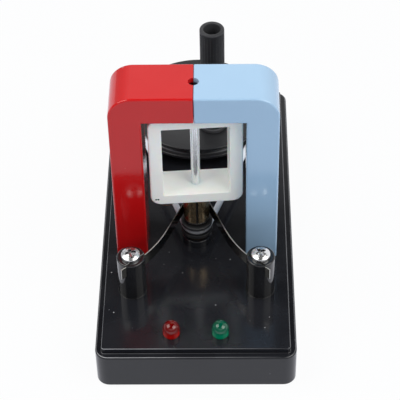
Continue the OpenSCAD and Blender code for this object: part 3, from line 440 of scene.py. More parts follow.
post_profile = soften(
    [(post_bore_r, ceiling_z), (spigot_r, ceiling_z), (spigot_r, panel_z), (post_bead_r, panel_z),
     (post_bead_r, post_bead_z), (post_foot_r, post_bead_z), (post_top_r, post_top_z), (post_bore_r, post_top_z),
     (post_bore_r, ceiling_z)], [0.1, 0.05, 0.05, 0.08, 0.03, 0.4, 0.1])[:-1]
slot_half_t, slot_flare = strip_t / 2 + 0.06, 0.14
slot_side = np.array([(slot_half_t, strip_z0 - 0.1), (slot_half_t, post_top_z - slot_flare),
                      (slot_half_t + slot_flare, post_top_z), (slot_half_t + slot_flare, post_top_z + 2)])
slot_section = np.vstack([slot_side, slot_side[::-1] * [-1, 1]])
for hand, which in hands:
    post = make_piece(f"{which}_post", [turned(post_profile, (hand * post_x, post_y), 72, closed=True)],
                      post_black, "base", f"{which}_brush_post")
    carve(post, [skin(bent_strip(hand, slot_section))])

# The two brushes: springy nickel-silver strips on edge, bent once, pressed into the slots of their posts.
# They lean on the commutator from both sides and carry its current to the post screws.
# Painted shade darkens their broad sides, and a painted shadow darkens their top edges close to the commutator.
strip_edge_r, side_painted_shade, sheared_dulling = 0.06, (0.15, 0.15, 0.148), 0.4
shadow_x, shadow_fade, shadow_least = 6.5, 2.5, 0.12


def painted_sides(tree, colour, rough):
    """Painted shade on the strip's broad sides; the marked top and end edges keep the bare metal and are rougher."""
    lit_edge = marked(tree, "painted_lit_edge")
    rough = work_out(tree, "ADD", rough, work_out(tree, "MULTIPLY", lit_edge, sheared_dulling))
    return blend_tint(tree, lit_edge, side_painted_shade, colour), rough


spring_strip = metal("spring_strip", (0.6, 0.6, 0.58), (0.5, 0.5, 0.48), 0.12, pull=(0.15, 0.15, 6.0),
                     line_size=700.0, shade=painted_sides)
strip_section = round_rects(strip_t / 2, (strip_z1 - strip_z0) / 2, strip_edge_r, steps=4, guard=0.005)[0]
strip_section[:, 1] += (strip_z0 + strip_z1) / 2
for hand, which in hands:
    strip = bent_strip(hand, strip_section)
    piece = make_piece(f"{which}_strip", [skin(strip)], spring_strip, "base", f"{which}_brush")
    on_top = np.clip((strip[..., 2] - strip_z1 + strip_edge_r) / strip_edge_r, 0, 1)
    # Painted shadow: the top edges go dark near the commutator's middle, where the bobbin shades them.
    on_top *= np.clip((np.abs(strip[..., 0]) - shadow_x) / shadow_fade, shadow_least, 1)
    mark(piece, "painted_lit_edge", np.maximum(on_top, (np.arange(len(strip)) == 0)[:, None]))

# The post screws: chromed pan heads with a cross recess, each holding its post down and taking the brush's current.
# A brass nut under the panel takes the thread.
post_head_r, head_side_h, head_dome_h, head_shoulder, dome_rows = 2.8, 0.9, 1.0, 0.55, 46
recess_half_l, recess_half_w, recess_d, recess_wall, recess_slope = 1.6, 0.475, 1.1, 0.12, 0.45
recess_painted_shade = (0.1, 0.1, 0.105)


def painted_recess_shade(tree, colour, rough):
    """Painted shade along the walls of the cross recess."""
    return blend_tint(tree, marked(tree, "sunk"), colour, recess_painted_shade), rough


chromed_steel = metal("chromed_steel", (0.74, 0.75, 0.77), (0.64, 0.65, 0.67), 0.2, line_size=3000.0, peel=0.05,
                      shade=painted_recess_shade)


def recess_bar(along, across):
    """The share of a recess's depth inside one bar of its cross: a smooth wall at the sides and a sloping end."""
    wall = np.clip((recess_half_w - np.abs(across)) / recess_wall, 0, 1)
    end = np.clip((recess_half_l - np.abs(along)) / recess_slope, 0, 1)
    return wall * wall * (3 - 2 * wall) * end


def pan_screw(middle, z, head_r, shank, lead, around=120):
    """A pan head on a stepped shank, from the tip up. The top is side + dome * (1 - (r / head_r)^2), lowered inside a
    cross of two bars. Also gives each point's share of the recess's depth."""
    turn = np.linspace(0, 2 * np.pi, around, endpoint=False)
    side = soften([shank[-1], (head_r - 0.05, z), (head_r, z + head_side_h),
                   (head_r - head_shoulder, z + head_side_h + head_dome_h * 0.36)], [0.15, 0.3])
    dome_r = np.linspace(head_r - head_shoulder, 0.03, dome_rows)
    dome = np.stack([dome_r, z + head_side_h + head_dome_h * (1 - (dome_r / head_r) ** 2)], -1)
    rows = np.vstack([shank[:-1], side[:-1], dome])
    x, y = rows[:, :1] * np.cos(turn), rows[:, :1] * np.sin(turn)
    in_dome = np.arange(len(rows)) > len(rows) - dome_rows
    sunk = np.maximum(recess_bar(x, y), recess_bar(y, x)) * in_dome[:, None]
    x, y = rows[:, :1] * np.cos(turn + lead), rows[:, :1] * np.sin(turn + lead)
    return points_of(middle[0] + x, middle[1] + y, rows[:, 1:] - recess_d * sunk), sunk


def screw_piece(name, screws, node):
    """Makes one chromed piece of pan screws and marks the walls of their recesses, where the depth is changing, for
    their painted shade.
    """
    heads, sunk = map(np.array, zip(*screws))
    piece = make_piece(name, [skin(head) for head in heads], chromed_steel, "base", node)
    mark(piece, "sunk", 4 * sunk * (1 - sunk))


post_shank = [(0.05, 9.0), (1.1, 9.0), (1.5, 9.5), (1.5, post_top_z)]
screw_piece("post_screws", [pan_screw((x, post_y), post_top_z, post_head_r, post_shank, lead)
                            for x, lead in ((-post_x, 0.32), (post_x, 0.62))], "brush_screws")
bush_brass = metal("bush_brass", (0.72, 0.5, 0.22), (0.55, 0.36, 0.15), 0.25, line_size=2000.0)
dress(bush_brass, "terminal_nuts")

# The two lamps: five millimetre light-emitting diodes cast in tinted, slightly cloudy epoxy, red left and green right.
# Through the epoxy show the tinned cup with its chip and the second post of the lead frame.
led_x, led_y, led_r, led_top_z, flange_r, flange_z, cup_off_x = 7.1, -52.5, 2.5, 19.3, 2.9, 11.5, 0.5
glow_z, dome_dark_z, foot_glow_z, foot_shade_z = 0.0155, 0.0178, 0.0154, 0.0147


def epoxy(name, tint, deep):
    """Tinted epoxy: cloudy throughout, clear and smooth on the outside. Its colour is painted light: deeper in the
    dome, painted shade close to the panel, and a painted glow between them."""
    finish, tree, surface = new_finish(name)
    cloud = lay_on(tree, moulded_skin, {"Flow Size": 500.0})
    up = axis_of(tree, "Object", 2)
    depth = work_out(tree, "MULTIPLY", cloud["Flow"], 0.3)
    # Painted glow and shade: the colour deepens above the glow and again close to the panel.
    for light_z, dark_z in ((glow_z, dome_dark_z), (foot_glow_z, foot_shade_z)):
        depth = work_out(tree, "MAXIMUM", depth, spread(tree, up, light_z, dark_z))
    tree.links.new(blend_tint(tree, depth, tint, deep), surface["Base Color"])
    tree.links.new(spread(tree, cloud["Peel"], 0.3, 0.7, 0.015, 0.03), surface["Roughness"])
    surface["Transmission Weight"].default_value = 0.2
    surface["IOR"].default_value = 1.5
    return finish


lens_turn = np.linspace(0, np.pi / 2 - 0.03, 20)
lens_dome = np.stack([led_r * np.cos(lens_turn), led_top_z - led_r + led_r * np.sin(lens_turn)], -1)
lens_foot = soften([(0.05, flange_z), (flange_r, flange_z), (flange_r, ceiling_z), (led_r, ceiling_z),
                    (led_r, led_top_z - led_r)], [0.1, 0.1, 0.05])
lens_profile = np.vstack([lens_foot[:-1], lens_dome])
cup_profile = soften([(0.05, 13.2), (0.35, 13.2), (0.4, 15.2), (1.05, 15.9), (0.95, 16.1), (0.45, 15.5), (0.05, 15.5)],
                     [0.05, 0.3, 0.06, 0.05, 0.05])
tinned_wire = metal("tinned_wire", (0.7, 0.7, 0.69), (0.58, 0.58, 0.56), 0.3, line_size=2600.0)
for x, tint, deep, which in ((-led_x, (0.54, 0.006, 0.004), (0.15, 0.002, 0.002), "red"),
                             (led_x, (0.0, 0.3, 0.145), (0.0, 0.095, 0.05), "green")):
    make_piece(f"{which}_lamp", [turned(lens_profile, (x, led_y), 56)],
               epoxy(f"{which}_lens", tint, deep), "base", f"{which}_led")
    make_piece(f"{which}_lamp_cup", [turned(cup_profile, (x - cup_off_x, led_y), 32)],
               tinned_wire, "base")
dress(tinned_wire, "led_leads")

# The wiring under the panel: a sleeved lead from each terminal nut to the outer leg of its lamp, and two yellow
# links that join the lamps crosswise. They lie against the ceiling and the lamp legs.
nut_side_x, cable_end_x, cable_end_z, cable_r = 15.074, 9.32, 8.0, 0.6


def round_cord(path, r, sides=12, closed=False, level=(0.0, 0.0, 1.0)):
    """A round cord's skin: circles of radius r, square to the path, with the section's directions taken from the path
    and a level direction."""
    path = np.asarray(path, float)
    way = unit(np.roll(path, -1, 0) - np.roll(path, 1, 0) if closed else np.gradient(path, axis=0))
    flat = unit(np.cross(way, level))
    up = np.cross(flat, way)
    a = np.linspace(0, 2 * np.pi, sides, endpoint=False)[:, None]
    return skin(path[:, None] + r * (np.cos(a) * flat[:, None] + np.sin(a) * up[:, None]), closed)


def rounded_route(points, steps=12):
    """A smooth route through points: a Catmull-Rom curve, whose tangent at each point is half the step between its
    neighbours."""
    p = np.asarray(points, float)
    p = np.vstack([2 * p[0] - p[1], p, 2 * p[-1] - p[-2]])
    a, b, c, d = p[:-3, None], p[1:-2, None], p[2:-1, None], p[3:, None]
    t = np.linspace(0, 1, steps, endpoint=False)[None, :, None]
    curve = 0.5 * (2 * b + (c - a) * t + (2 * a - 5 * b + 4 * c - d) * t ** 2 + (3 * b - a - 3 * c + d) * t ** 3)
    return np.vstack([curve.reshape(-1, 3), p[-2]])


cable_route = np.array([
    (nut_side_x, post_y + 3, ceiling_z - 1.5), (nut_side_x, post_y, ceiling_z - 1.5),
    (nut_side_x, post_y - 4, ceiling_z - 2), (nut_side_x - 2, post_y - 8, ceiling_z - 4),
    (cable_end_x, led_y + 6, cable_end_z), (cable_end_x, led_y + 3, cable_end_z),
    (cable_end_x, led_y - 0.5, cable_end_z)])
for hand, which, tint, deep, slot in ((-1, "left", (0.42, 0.02, 0.02), (0.32, 0.015, 0.015), "red_sleeve"),
                                      (1, "right", (0.02, 0.02, 0.02), (0.03, 0.03, 0.03), "black_sleeve")):
    make_piece(f"{which}_lead_wire", [round_cord(rounded_route(cable_route * [hand, 1, 1]), cable_r)],
               plastic(slot, tint, deep, 0.4, peel=0.1), "base", f"{which}_wire")
yellow_sleeve = plastic("yellow_sleeve", (0.68, 0.5, 0.06), (0.6, 0.42, 0.05), 0.4, peel=0.1)
dress(yellow_sleeve, "link_wires")

# The two poles: hollow L-shaped shells, red left and light blue right, that meet at a hairline seam over the rotor.
# They are moulded in glossy styrene with small rounds on their edges; screws from below hold the legs to the panel.
pole_front, pole_back = -22.15, -6.65
pole_out, leg_in, pole_top, bar_under = 24.1, 14.8, 77.9, 68.9
pole_corner_r, seam_half, seam_r, edge_r, shell_wall = 7.0, 0.05, 0.25, 0.5, 1.6
seat_half_w, leg_solid_top = 5.5, panel_z + 9
bush_r, bush_h, bush_flange_r, oil_hole_r = 2.64, 5, 4.2, 1.55

# Painted foot shade: the legs' colour is painted darker towards the black panel, which sends little light back up.
painted_foot_shade, take, give = new_effect("painted_foot_shade", {"Amount": 0.24}, ["Depth"])
tree = painted_foot_shade
tree.links.new(spread(tree, axis_of(tree, "Object", 2), 0.058, 0.012, 0.0, take["Amount"]), give["Depth"])


def paint_foot_shade(tree, colour, rough):
    """Takes the colour towards black by the painted foot shade's share."""
    return blend_tint(tree, lay_on(tree, painted_foot_shade)["Depth"], colour, (0.0, 0.0, 0.0)), rough


pole_finish = dict(wear=0.12, dust=0.012, peel=0.05, flow_size=45.0, shade=paint_foot_shade)
red_plastic = plastic("red_plastic", (0.56, 0.008, 0.009), (0.525, 0.006, 0.007), 0.09, shine=1.45, **pole_finish)
blue_plastic = plastic("blue_plastic", (0.358, 0.528, 0.71), (0.342, 0.508, 0.69), 0.09, **pole_finish)


def pole_outlines(x0, x1, leg_x0, z0, z1, bar_z0, corner_r, seam_r, steps=14, guard=0.02):
    """Front views of a pole, one for each row: along the bar's underside, down the leg, across its foot, up the outer
    side, round the top corner by an arc of the corner radius, and back along the top. Arcs of the seam radius take the
    two seam corners."""
    x0, x1, leg_x0, z0, z1, bar_z0, r, s = (v[:, None] for v in np.broadcast_arrays(
        *(np.atleast_1d(np.asarray(v, float)) for v in (x0, x1, leg_x0, z0, z1, bar_z0, corner_r, seam_r))))
    turn, small = np.linspace(0, np.pi / 2, steps)[None], np.linspace(0, np.pi / 2, 6)[None]
    x = np.hstack([x0 + s - s * np.cos(small), x0 + s + guard, leg_x0, leg_x0, x1, x1, x1 - r + r * np.cos(turn),
                   x1 - r - guard, x0 + s + guard, x0 + s - s * np.sin(small)])
    z = np.hstack([bar_z0 + s - s * np.sin(small), bar_z0, bar_z0, z0, z0, z1 - r - guard, z1 - r + r * np.sin(turn),
                   z1, z1, z1 - s + s * np.cos(small)])
    return np.stack([x, z], -1)


inset, depth = soften([(edge_r + 0.3, pole_front), (0.0, pole_front), (0.0, pole_back), (edge_r + 0.3, pole_back)],
                      [edge_r, edge_r]).T
outside = pole_outlines(seam_half + inset, pole_out - inset, leg_in + inset, panel_z, pole_top - inset,
                        bar_under + inset, pole_corner_r - inset, seam_r)
pocket = pole_outlines(np.full(2, seat_half_w), pole_out - shell_wall, leg_in + shell_wall, leg_solid_top,
                       pole_top - shell_wall, bar_under + shell_wall, pole_corner_r - shell_wall, 0.1)
outline = np.vstack([outside, pocket])
depth = np.r_[depth, pole_back, pole_front + shell_wall]
bush_cut = turned(
    [(0.02, bar_under - 1), (bush_r, bar_under - 1), (bush_r, bar_under + bush_h),
     (bush_flange_r, bar_under + bush_h + 0.01), (bush_flange_r, pole_top - shell_wall),
     (oil_hole_r, pole_top - shell_wall + 0.01), (oil_hole_r, pole_top + 1), (0.02, pole_top + 1)], (0, rotor_y), 48)
for hand, finish, which in ((-1, red_plastic, "red"), (1, blue_plastic, "blue")):
    grid = points_of(hand * outline[..., 0], depth[:, None], outline[..., 1])
    pole = make_piece(f"{which}_pole", [skin(grid)], finish, "base", f"{which}_pole_shell")
    carve(pole, [bush_cut])
    dress(finish, f"{which}_rear_cover")

# What the poles hold: a ferrite block in each leg, four small screws in the rear covers, a screw up each leg,
# and the two flanged bronze bushes that the rotor's shaft runs in, coloured near black as painted shade in their holes.
ferrite = plastic("ferrite", (0.045, 0.046, 0.05), (0.07, 0.07, 0.075), 0.55, wear=0.15, peel=0.4, flow_size=300.0,
                  peel_size=3000.0)
dress(ferrite, "left_magnet", "right_magnet")
dress(zinc_steel, "rear_cover_screws", "leg_screws")
bronze_painted_shade = metal("bronze_painted_shade", (0.08, 0.052, 0.03), (0.05, 0.032, 0.02), 0.45, line_size=2000.0)
dress(bronze_painted_shade, "upper_bearing", "lower_bearing")

# The rotor's shaft: ground and polished steel rod with small chamfers, running through the bobbin's window.
# It turns in the bush in the cross bar and the bush in the base, and everything on the rotor is pressed onto it.
shaft_r, shaft_foot_z, shaft_top_z = 1.35, 7.35, 74.1
press_r = shaft_r + 0.02
shaft_steel = metal("shaft_steel", (0.82, 0.84, 0.86), (0.74, 0.76, 0.78), 0.2, pull=(8.0, 8.0, 0.2), line_size=600.0,
                    peel=0.02)


def tune(finish, values):
    """Sets plain values on a finish's shader."""
    for label, value in values.items():
        finish.node_tree.nodes["Principled BSDF"].inputs[label].default_value = value


tune(shaft_steel, {"Metallic": 0.88})
shaft_profile = soften([(0.05, shaft_foot_z), (shaft_r, shaft_foot_z), (shaft_r, shaft_top_z), (0.05, shaft_top_z)],
                       [0.25, 0.25])
make_piece("shaft", [turned(shaft_profile, (0, rotor_y), 48)], shaft_steel, "rotor", "rotor_shaft")

# The coil bobbin: a white nylon frame with two soft-edged flanges and a channel between them for the wire.
# Its hubs are pressed on the shaft, and it stands at rest a few degrees out of line with the poles.
# Two small holes at the lower left of the front flange let the wire's ends through.
bobbin_mid_z, rotor_turn = 51.8, np.radians(4)
bobbin_half, window_half = np.array([13.6, 16.6]), np.array([9.75, 12.95])
bobbin_half_d, flange_t, core_wall, bobbin_corner_r, window_corner_r = 5.2, 1.2, 1.2, 3.2, 0.3
hub_r, hub_h, hub_feet_z = 2.05, 3.5, (35.3, 64.8)
wire_hole_up, wire_hole_r, wire_hole_across = -14.45, 0.31, np.array([-12.03, -11.37])
# The white's edge grey is near black: painted shade for the wire holes.
white_plastic = plastic("white_plastic", (0.95, 0.945, 0.895), (0.925, 0.92, 0.865), 0.3, wear=0.08, peel=0.06,
                        flow_size=110.0, edge=0.015)
tune(white_plastic, {"Subsurface Weight": 0.25, "Subsurface Scale": 0.0012})


def on_bobbin(across, through, up):
    """Turns bobbin sizes (across, through its depth, up from its middle) by the rest angle about the rotor's axis."""
    x = across * np.cos(rotor_turn) - through * np.sin(rotor_turn)
    y = rotor_y + across * np.sin(rotor_turn) + through * np.cos(rotor_turn)
    return points_of(x, y, bobbin_mid_z + up)


flange_w, flange_in = bobbin_half[0] - window_half[0], bobbin_half_d - flange_t
ring = soften([(0, -bobbin_half_d), (flange_w, -bobbin_half_d), (flange_w, -flange_in), (core_wall, -flange_in),
               (core_wall, flange_in), (flange_w, flange_in), (flange_w, bobbin_half_d), (0, bobbin_half_d)],
              [0.15, 0.45, 0.15, 0.1, 0.1, 0.15, 0.45, 0.15], ring=True)
share = ring[:, 0] / flange_w
sides = window_half + share[:, None] * (bobbin_half - window_half)
sides = round_rects(*sides.T, window_corner_r + share * (bobbin_corner_r - window_corner_r), steps=10)
hub_tube = soften([(press_r, 0), (hub_r, 0), (hub_r, hub_h), (press_r, hub_h), (press_r, 0)], [0.2, 0.2, 0.05])[:-1]
hubs = [turned(hub_tube + [0, z], (0, rotor_y), 40, closed=True) for z in hub_feet_z]
bobbin_frame = skin(on_bobbin(sides[..., 0], ring[:, 1:], sides[..., 1]), closed=True)
bobbin = make_piece("bobbin", [bobbin_frame] + hubs, white_plastic, "rotor", "coil_bobbin")
turn = np.linspace(0, 2 * np.pi, 20, endpoint=False)
hole_x, hole_z = wire_hole_r * np.cos(turn), wire_hole_up + wire_hole_r * np.sin(turn)
hole_depth = np.array([[-bobbin_half_d - 0.8], [0.02 - flange_in]])
carve(bobbin, [skin(on_bobbin(across + hole_x, hole_depth, hole_z)) for across in wire_hole_across])

# Painted shade makes the holes black: both walls are marked far past 1 at their inner end, so the dark reaches the
# face.
hole_painted_shade = 40.0
points = np.zeros(3 * len(bobbin.data.vertices), np.float32)
bobbin.data.vertices.foreach_get("co", points)
hole_ends = on_bobbin(wire_hole_across, -flange_in, wire_hole_up)
from_hole = np.linalg.norm(points.reshape(-1, 1, 3) / mm - hole_ends, axis=2).min(1)
mark(bobbin, "painted_light_and_shade", hole_painted_shade * (from_hole < wire_hole_r + 0.1))

# The winding: enamelled copper wire. The inner layers are one tight block in the channel; over them lies the outer
# layer in a front and a rear bank that pass the hubs, and its two ends go down to the commutator.
# A loose end of thin brown wire lies under the front flange's lower left edge.
wire_r, wire_end_r, bank_turns, bank_outer, wire_pitch = 0.15, 0.1, 6, 3.75, 0.305
layer_half_w, layer_half_h, layer_corner_r, step_share = 12.95, 15.95, 2.65, 0.1
enamelled_copper = metal("enamelled_copper", (0.56, 0.2, 0.07), (0.42, 0.13, 0.04), 0.22, line_size=1500.0)
tune(enamelled_copper, {"Coat Weight": 0.5})


def winding_route():
    """Turn after turn round a rounded rectangle. The place through the depth stays put for most of a turn and steps on
    to the next place on the right-hand side; the two banks leave the middle free for the hubs."""
    turns = np.arange(2 * bank_turns)
    places = np.where(turns < bank_turns, -bank_outer + turns * wire_pitch,
                      bank_outer - (2 * bank_turns - 1 - turns) * wire_pitch)
    loop = np.roll(round_rects(layer_half_w, layer_half_h, layer_corner_r, steps=16)[0], 1, 0)
    step = np.clip((np.arange(len(loop)) / len(loop) - 1 + step_share) / step_share, 0, 1)
    following = np.r_[places[1:], places[-1]]
    through = places[:, None] + (following - places)[:, None] * step * step * (3 - 2 * step)
    return on_bobbin(loop[:, 0], through, loop[:, 1]).reshape(-1, 3)


through_way = (-np.sin(rotor_turn), np.cos(rotor_turn), 0.0)
make_piece("winding", [round_cord(winding_route(), wire_r, 8, level=through_way)], enamelled_copper, "rotor",
           "coil_winding")
dress(enamelled_copper, "coil_core", "coil_leads")
wire_end = [(-11.3, -3.9, -16.45), (-10.6, -4.9, -16.78), (-9.6, -5.3, -16.74), (-8.2, -5.3, -16.74),
            (-7.0, -4.7, -16.8), (-6.4, -3.6, -16.2)]
wire_end = rounded_route(on_bobbin(*np.array(wire_end).T))
brown_enamel = metal("brown_enamel", (0.14, 0.065, 0.03), (0.1, 0.045, 0.02), 0.3, line_size=1500.0)
make_piece("winding_end", [round_cord(wire_end, wire_end_r, 8)], brown_enamel, "rotor")

# The commutator: two dark, brushed brass half-rings on a black moulded core with a thin collar at its foot.
# The slots between them face the magnets' change-over, and the brushes have worn a brighter track at their height.
comm_r, segment_t, comm_foot_z, comm_top_z, slot_half = 3.9, 0.5, 24.3, 34.7, 0.4
collar_z, segment_foot_z = comm_foot_z + 0.6, comm_foot_z + 0.62
smear_size, smear_tint, smear_dulling = 450.0, (0.045, 0.035, 0.025), 0.2


def brush_track(tree, colour, rough):
    """Darkens the brass in smears and leaves a brighter, smoother band where the strips touch."""
    up = axis_of(tree, "Object", 2)
    track = work_out(tree, "MULTIPLY", spread(tree, up, 0.0242, 0.0248), spread(tree, up, 0.0284, 0.029, 1.0, 0.0))
    smear = spread(tree, noise(tree, smear_size, 4.0), 0.35, 0.7)
    dark = work_out(tree, "MULTIPLY", smear, spread(tree, track, 0, 1, 0.6, 0.35))
    rough = work_out(tree, "ADD", rough, work_out(tree, "MULTIPLY", dark, smear_dulling))
    return blend_tint(tree, dark, colour, smear_tint), rough


commutator_brass = metal("commutator_brass", (0.74, 0.56, 0.35), (0.5, 0.37, 0.22), 0.2, pull=(1.0, 1.0, 6.0),
                         shade=brush_track)
commutator_black = plastic("commutator_black", (0.016, 0.014, 0.013), (0.024, 0.021, 0.019), 0.25, wear=0.1, peel=0.08)
half_ring = soften([(comm_r - segment_t, segment_foot_z), (comm_r, segment_foot_z), (comm_r, comm_top_z),
                    (comm_r - segment_t, comm_top_z)], [0.06, 0.1, 0.1, 0.06], steps=3, ring=True)
slot_angle = np.arcsin(slot_half / comm_r)
segments = []
for start in (-np.pi / 2, np.pi / 2):
    sweep = rotor_turn + start + np.linspace(slot_angle, np.pi - slot_angle, 40)[:, None]
    segments.append(skin(points_of(half_ring[:, 0] * np.cos(sweep), rotor_y + half_ring[:, 0] * np.sin(sweep),
                                   half_ring[:, 1])))
make_piece("segments", segments, commutator_brass, "rotor", "commutator_segments")
core_r = comm_r - segment_t - 0.02
comm_core = soften([(press_r, comm_foot_z), (comm_r, comm_foot_z), (comm_r, collar_z), (core_r, collar_z),
                    (core_r, comm_top_z), (press_r, comm_top_z), (press_r, comm_foot_z)],
                   [0.12, 0.2, 0.05, 0.25, 0.1])[:-1]
make_piece("segment_core", [turned(comm_core, (0, rotor_y), 56, closed=True)], commutator_black, "rotor",
           "commutator_core")

# The rotor's pulley: a small black moulded wheel, pressed on the shaft, with a round groove for the belt.
# A hub on its top carries the commutator, and a painted highlight makes the upper lip of its rim a little paler.
belt_z, rim_half, groove_r, pulley_steps = 21.3, 2.2, 1.15, 64
rim_low_z, rim_top_z = belt_z - rim_half, belt_z + rim_half
pulley_r, pulley_pitch_r, pulley_hub_r, pulley_hub_top = 4.8, 3.6, 3.0, 24.28
pulley_black = plastic("pulley_black", (0.012, 0.012, 0.013), (0.017, 0.017, 0.018), 0.3, wear=0.1, peel=0.12,
                       peel_size=1600.0, edge=0.09)


def grooved_rim(rim_r, pitch_r, lip_r=0.2, steps=20):
    """A rim's outer profile from its lower to its upper edge: short lips, and between them the belt's round groove, a
    half circle of the groove radius about the pitch radius with straight sides out to the rim."""
    a = np.linspace(-np.pi / 2, -3 * np.pi / 2, steps)
    groove = np.stack([pitch_r + groove_r * np.cos(a), belt_z + groove_r * np.sin(a)], -1)
    groove_low_z = belt_z - groove_r
    low = soften([(rim_r - 1.2, rim_low_z), (rim_r, rim_low_z), (rim_r, groove_low_z), (pitch_r, groove_low_z)],
                 [lip_r, lip_r])[1:-1]
    return np.vstack([low, groove, low[::-1] * [1, -1] + [0, 2 * belt_z]])


pulley_profile = np.vstack([
    [(press_r, rim_low_z)], grooved_rim(pulley_r, pulley_pitch_r, 0.1),
    soften([(pulley_hub_r + 0.8, rim_top_z), (pulley_hub_r, rim_top_z), (pulley_hub_r, pulley_hub_top),
            (press_r, pulley_hub_top)], [0.2, 0.2])])
pulley = make_piece("pulley", [turned(pulley_profile, (0, rotor_y), pulley_steps, closed=True)], pulley_black,
                    "rotor", "rotor_pulley")
lip_highlight = painted_line(pulley_profile, (pulley_r - 0.03, rim_top_z - 0.03), 0.13, full=1.1)
mark(pulley, "painted_light_and_shade", np.repeat(lip_highlight, pulley_steps))

# The belt: a round cord of clear, slightly milky polyurethane, butt-welded into a loop and stretched over both grooves.
# Painted shade makes it dark grey where it bends round the front of the small pulley.
belt_r, wheel_pitch_r = 0.95, 21.1
belt_painted_shade, shaded_y, lit_y = (0.21, 0.21, 0.22), -0.0172, -0.0138


def painted_belt_shade(tree, colour, rough):
    """Painted shade on the front bend, going over to the plain cord along Y."""
    return blend_tint(tree, spread(tree, axis_of(tree, "Object", 1), shaded_y, lit_y), belt_painted_shade, colour), rough


belt_rubber = plastic("belt_rubber", (0.8, 0.835, 0.89), (0.75, 0.785, 0.85), 0.2, wear=0.1, peel=0.1,
                      flow_size=200.0, shade=painted_belt_shade)
tune(belt_rubber, {"Transmission Weight": 0.1})


def belt_route():
    """The loop's middle line: an arc of the wheel's pitch radius over 180 + 2 * lean degrees, an arc of the pulley's
    over the rest, and two straight runs tangent to both. The lean's sine is the difference of the radii over the
    distance."""
    lean = np.arcsin((wheel_pitch_r - pulley_pitch_r) / (wheel_y - rotor_y))
    far, near = np.linspace(-lean, np.pi + lean, 150), np.linspace(np.pi + lean, 2 * np.pi - lean, 40)
    wheel_arc = np.stack([wheel_pitch_r * np.cos(far), wheel_y + wheel_pitch_r * np.sin(far)], -1)
    pulley_arc = np.stack([pulley_pitch_r * np.cos(near), rotor_y + pulley_pitch_r * np.sin(near)], -1)
    part = np.linspace(0, 1, 26)[1:-1, None]
    down = wheel_arc[-1] + part * (pulley_arc[0] - wheel_arc[-1])
    up = pulley_arc[-1] + part * (wheel_arc[0] - pulley_arc[-1])
    loop = np.vstack([wheel_arc, down, pulley_arc, up])
    return points_of(loop[:, 0], loop[:, 1], belt_z)


make_piece("belt", [round_cord(belt_route(), belt_r, 18, closed=True)], belt_rubber, "base",
           "drive_belt")

# The drive wheel: a black moulded wheel with the same round groove, a flat satin top, a hollow underside and a hub.
# It turns on a shoulder screw between a nylon and a steel washer, and a boss below takes the grip's screw.
# A painted highlight line runs along the lower side of its groove, faint at the front.
wheel_r, wheel_rim_in, wheel_hub_r, wheel_hub_z, web_under, wheel_steps = 22.3, 18.35, 6.5, 16.9, 21.7, 160
axle_r, axle_head_z, axle_head_r, crank_boss_r, crank_boss_top_z = 2.54, 24.15, 4.2, 4.25, web_under + 0.6
crank_r, crank_turn = 11.9, np.radians(-66)
grip_x, grip_y = crank_r * np.cos(crank_turn), wheel_y + crank_r * np.sin(crank_turn)
groove_line, groove_line_w, front_least, front_fade = (20.75, 20.2), 0.3, 0.1, 40


def satin_top(tree, colour, rough):
    """A rougher texture on the faces that look straight up."""
    return colour, work_out(tree, "ADD", rough, spread(tree, axis_of(tree, "Normal", 2), 0.95, 1.0, 0.0, 0.25))


wheel_black = plastic("wheel_black", (0.013, 0.0134, 0.0155), (0.018, 0.0186, 0.021), 0.2, wear=0.15, dust=0.02,
                      peel=0.08, edge=0.8, shade=satin_top)
wheel_under = soften([(axle_r, rim_top_z), (axle_r, wheel_hub_z), (wheel_hub_r, wheel_hub_z), (wheel_hub_r, web_under),
                      (wheel_rim_in, web_under), (wheel_rim_in, rim_low_z), (wheel_r - 1.2, rim_low_z)],
                     [0.2, 0.3, 0.4, 0.4, 0.2])
wheel_profile = np.vstack([wheel_under[1:-1], grooved_rim(wheel_r, wheel_pitch_r, steps=24),
                           [(axle_r + 0.3, rim_top_z), (axle_r, rim_top_z - 0.2)]])
crank_boss = soften([(0.05, rim_low_z), (crank_boss_r, rim_low_z), (crank_boss_r, crank_boss_top_z),
                     (0.05, crank_boss_top_z)], [0.3, 0.05])
wheel = make_piece("wheel", [turned(wheel_profile, (0, wheel_y), wheel_steps, closed=True),
                             turned(crank_boss, (grip_x, grip_y), 48)],
                   wheel_black, "wheel", "drive_wheel")
# Painted highlight in the groove, faint at the front and full from 40 degrees round.
from_front = np.abs((np.arange(wheel_steps) / wheel_steps * 360 + 270) % 360 - 180)
round_highlight = np.clip(front_least + (1 - front_least) * (from_front / front_fade) ** 2, 0, 1)
mark(wheel, "painted_light_and_shade", painted_line(wheel_profile, groove_line, groove_line_w, full=1.3)[:, None] * round_highlight)
nylon = plastic("nylon", (0.62, 0.61, 0.56), (0.57, 0.56, 0.5), 0.5, peel=0.15)
dress(nylon, "thrust_washer")
dress(zinc_steel, "axle_washer")
axle_shank = [(0.05, 7.3), (1.6, 7.3), (2.0, 7.8), (2.0, 16.3), (2.5, 16.32), (2.5, axle_head_z)]
screw_piece("axle", [pan_screw((0, wheel_y), axle_head_z, axle_head_r, axle_shank, 0.5)], "axle_screw")

# The crank grip: a black fluted sleeve with a wider foot, moulded hollow from the top in a matt plastic.
# It spins on a shoulder screw deep inside it, which goes into the wheel's boss, and a painted highlight pales its
# ridges.
grip_z, grip_h, grip_r, grip_foot_r, grip_foot_h = 23.7, 39.6, 3.8, 4.25, 1.4
grip_bore_r, grip_floor_h, grip_hole_r = 2.6, 8.0, 1.64
flutes, flute_r, flute_out, flute_fade = 24, 0.36, 0.08, 0.5
grip_black = plastic("grip_black", (0.009, 0.0092, 0.0115), (0.012, 0.0122, 0.015), 0.42, wear=0.15, dust=0.02,
                     peel=0.06, shine=1.3, edge=0.15)


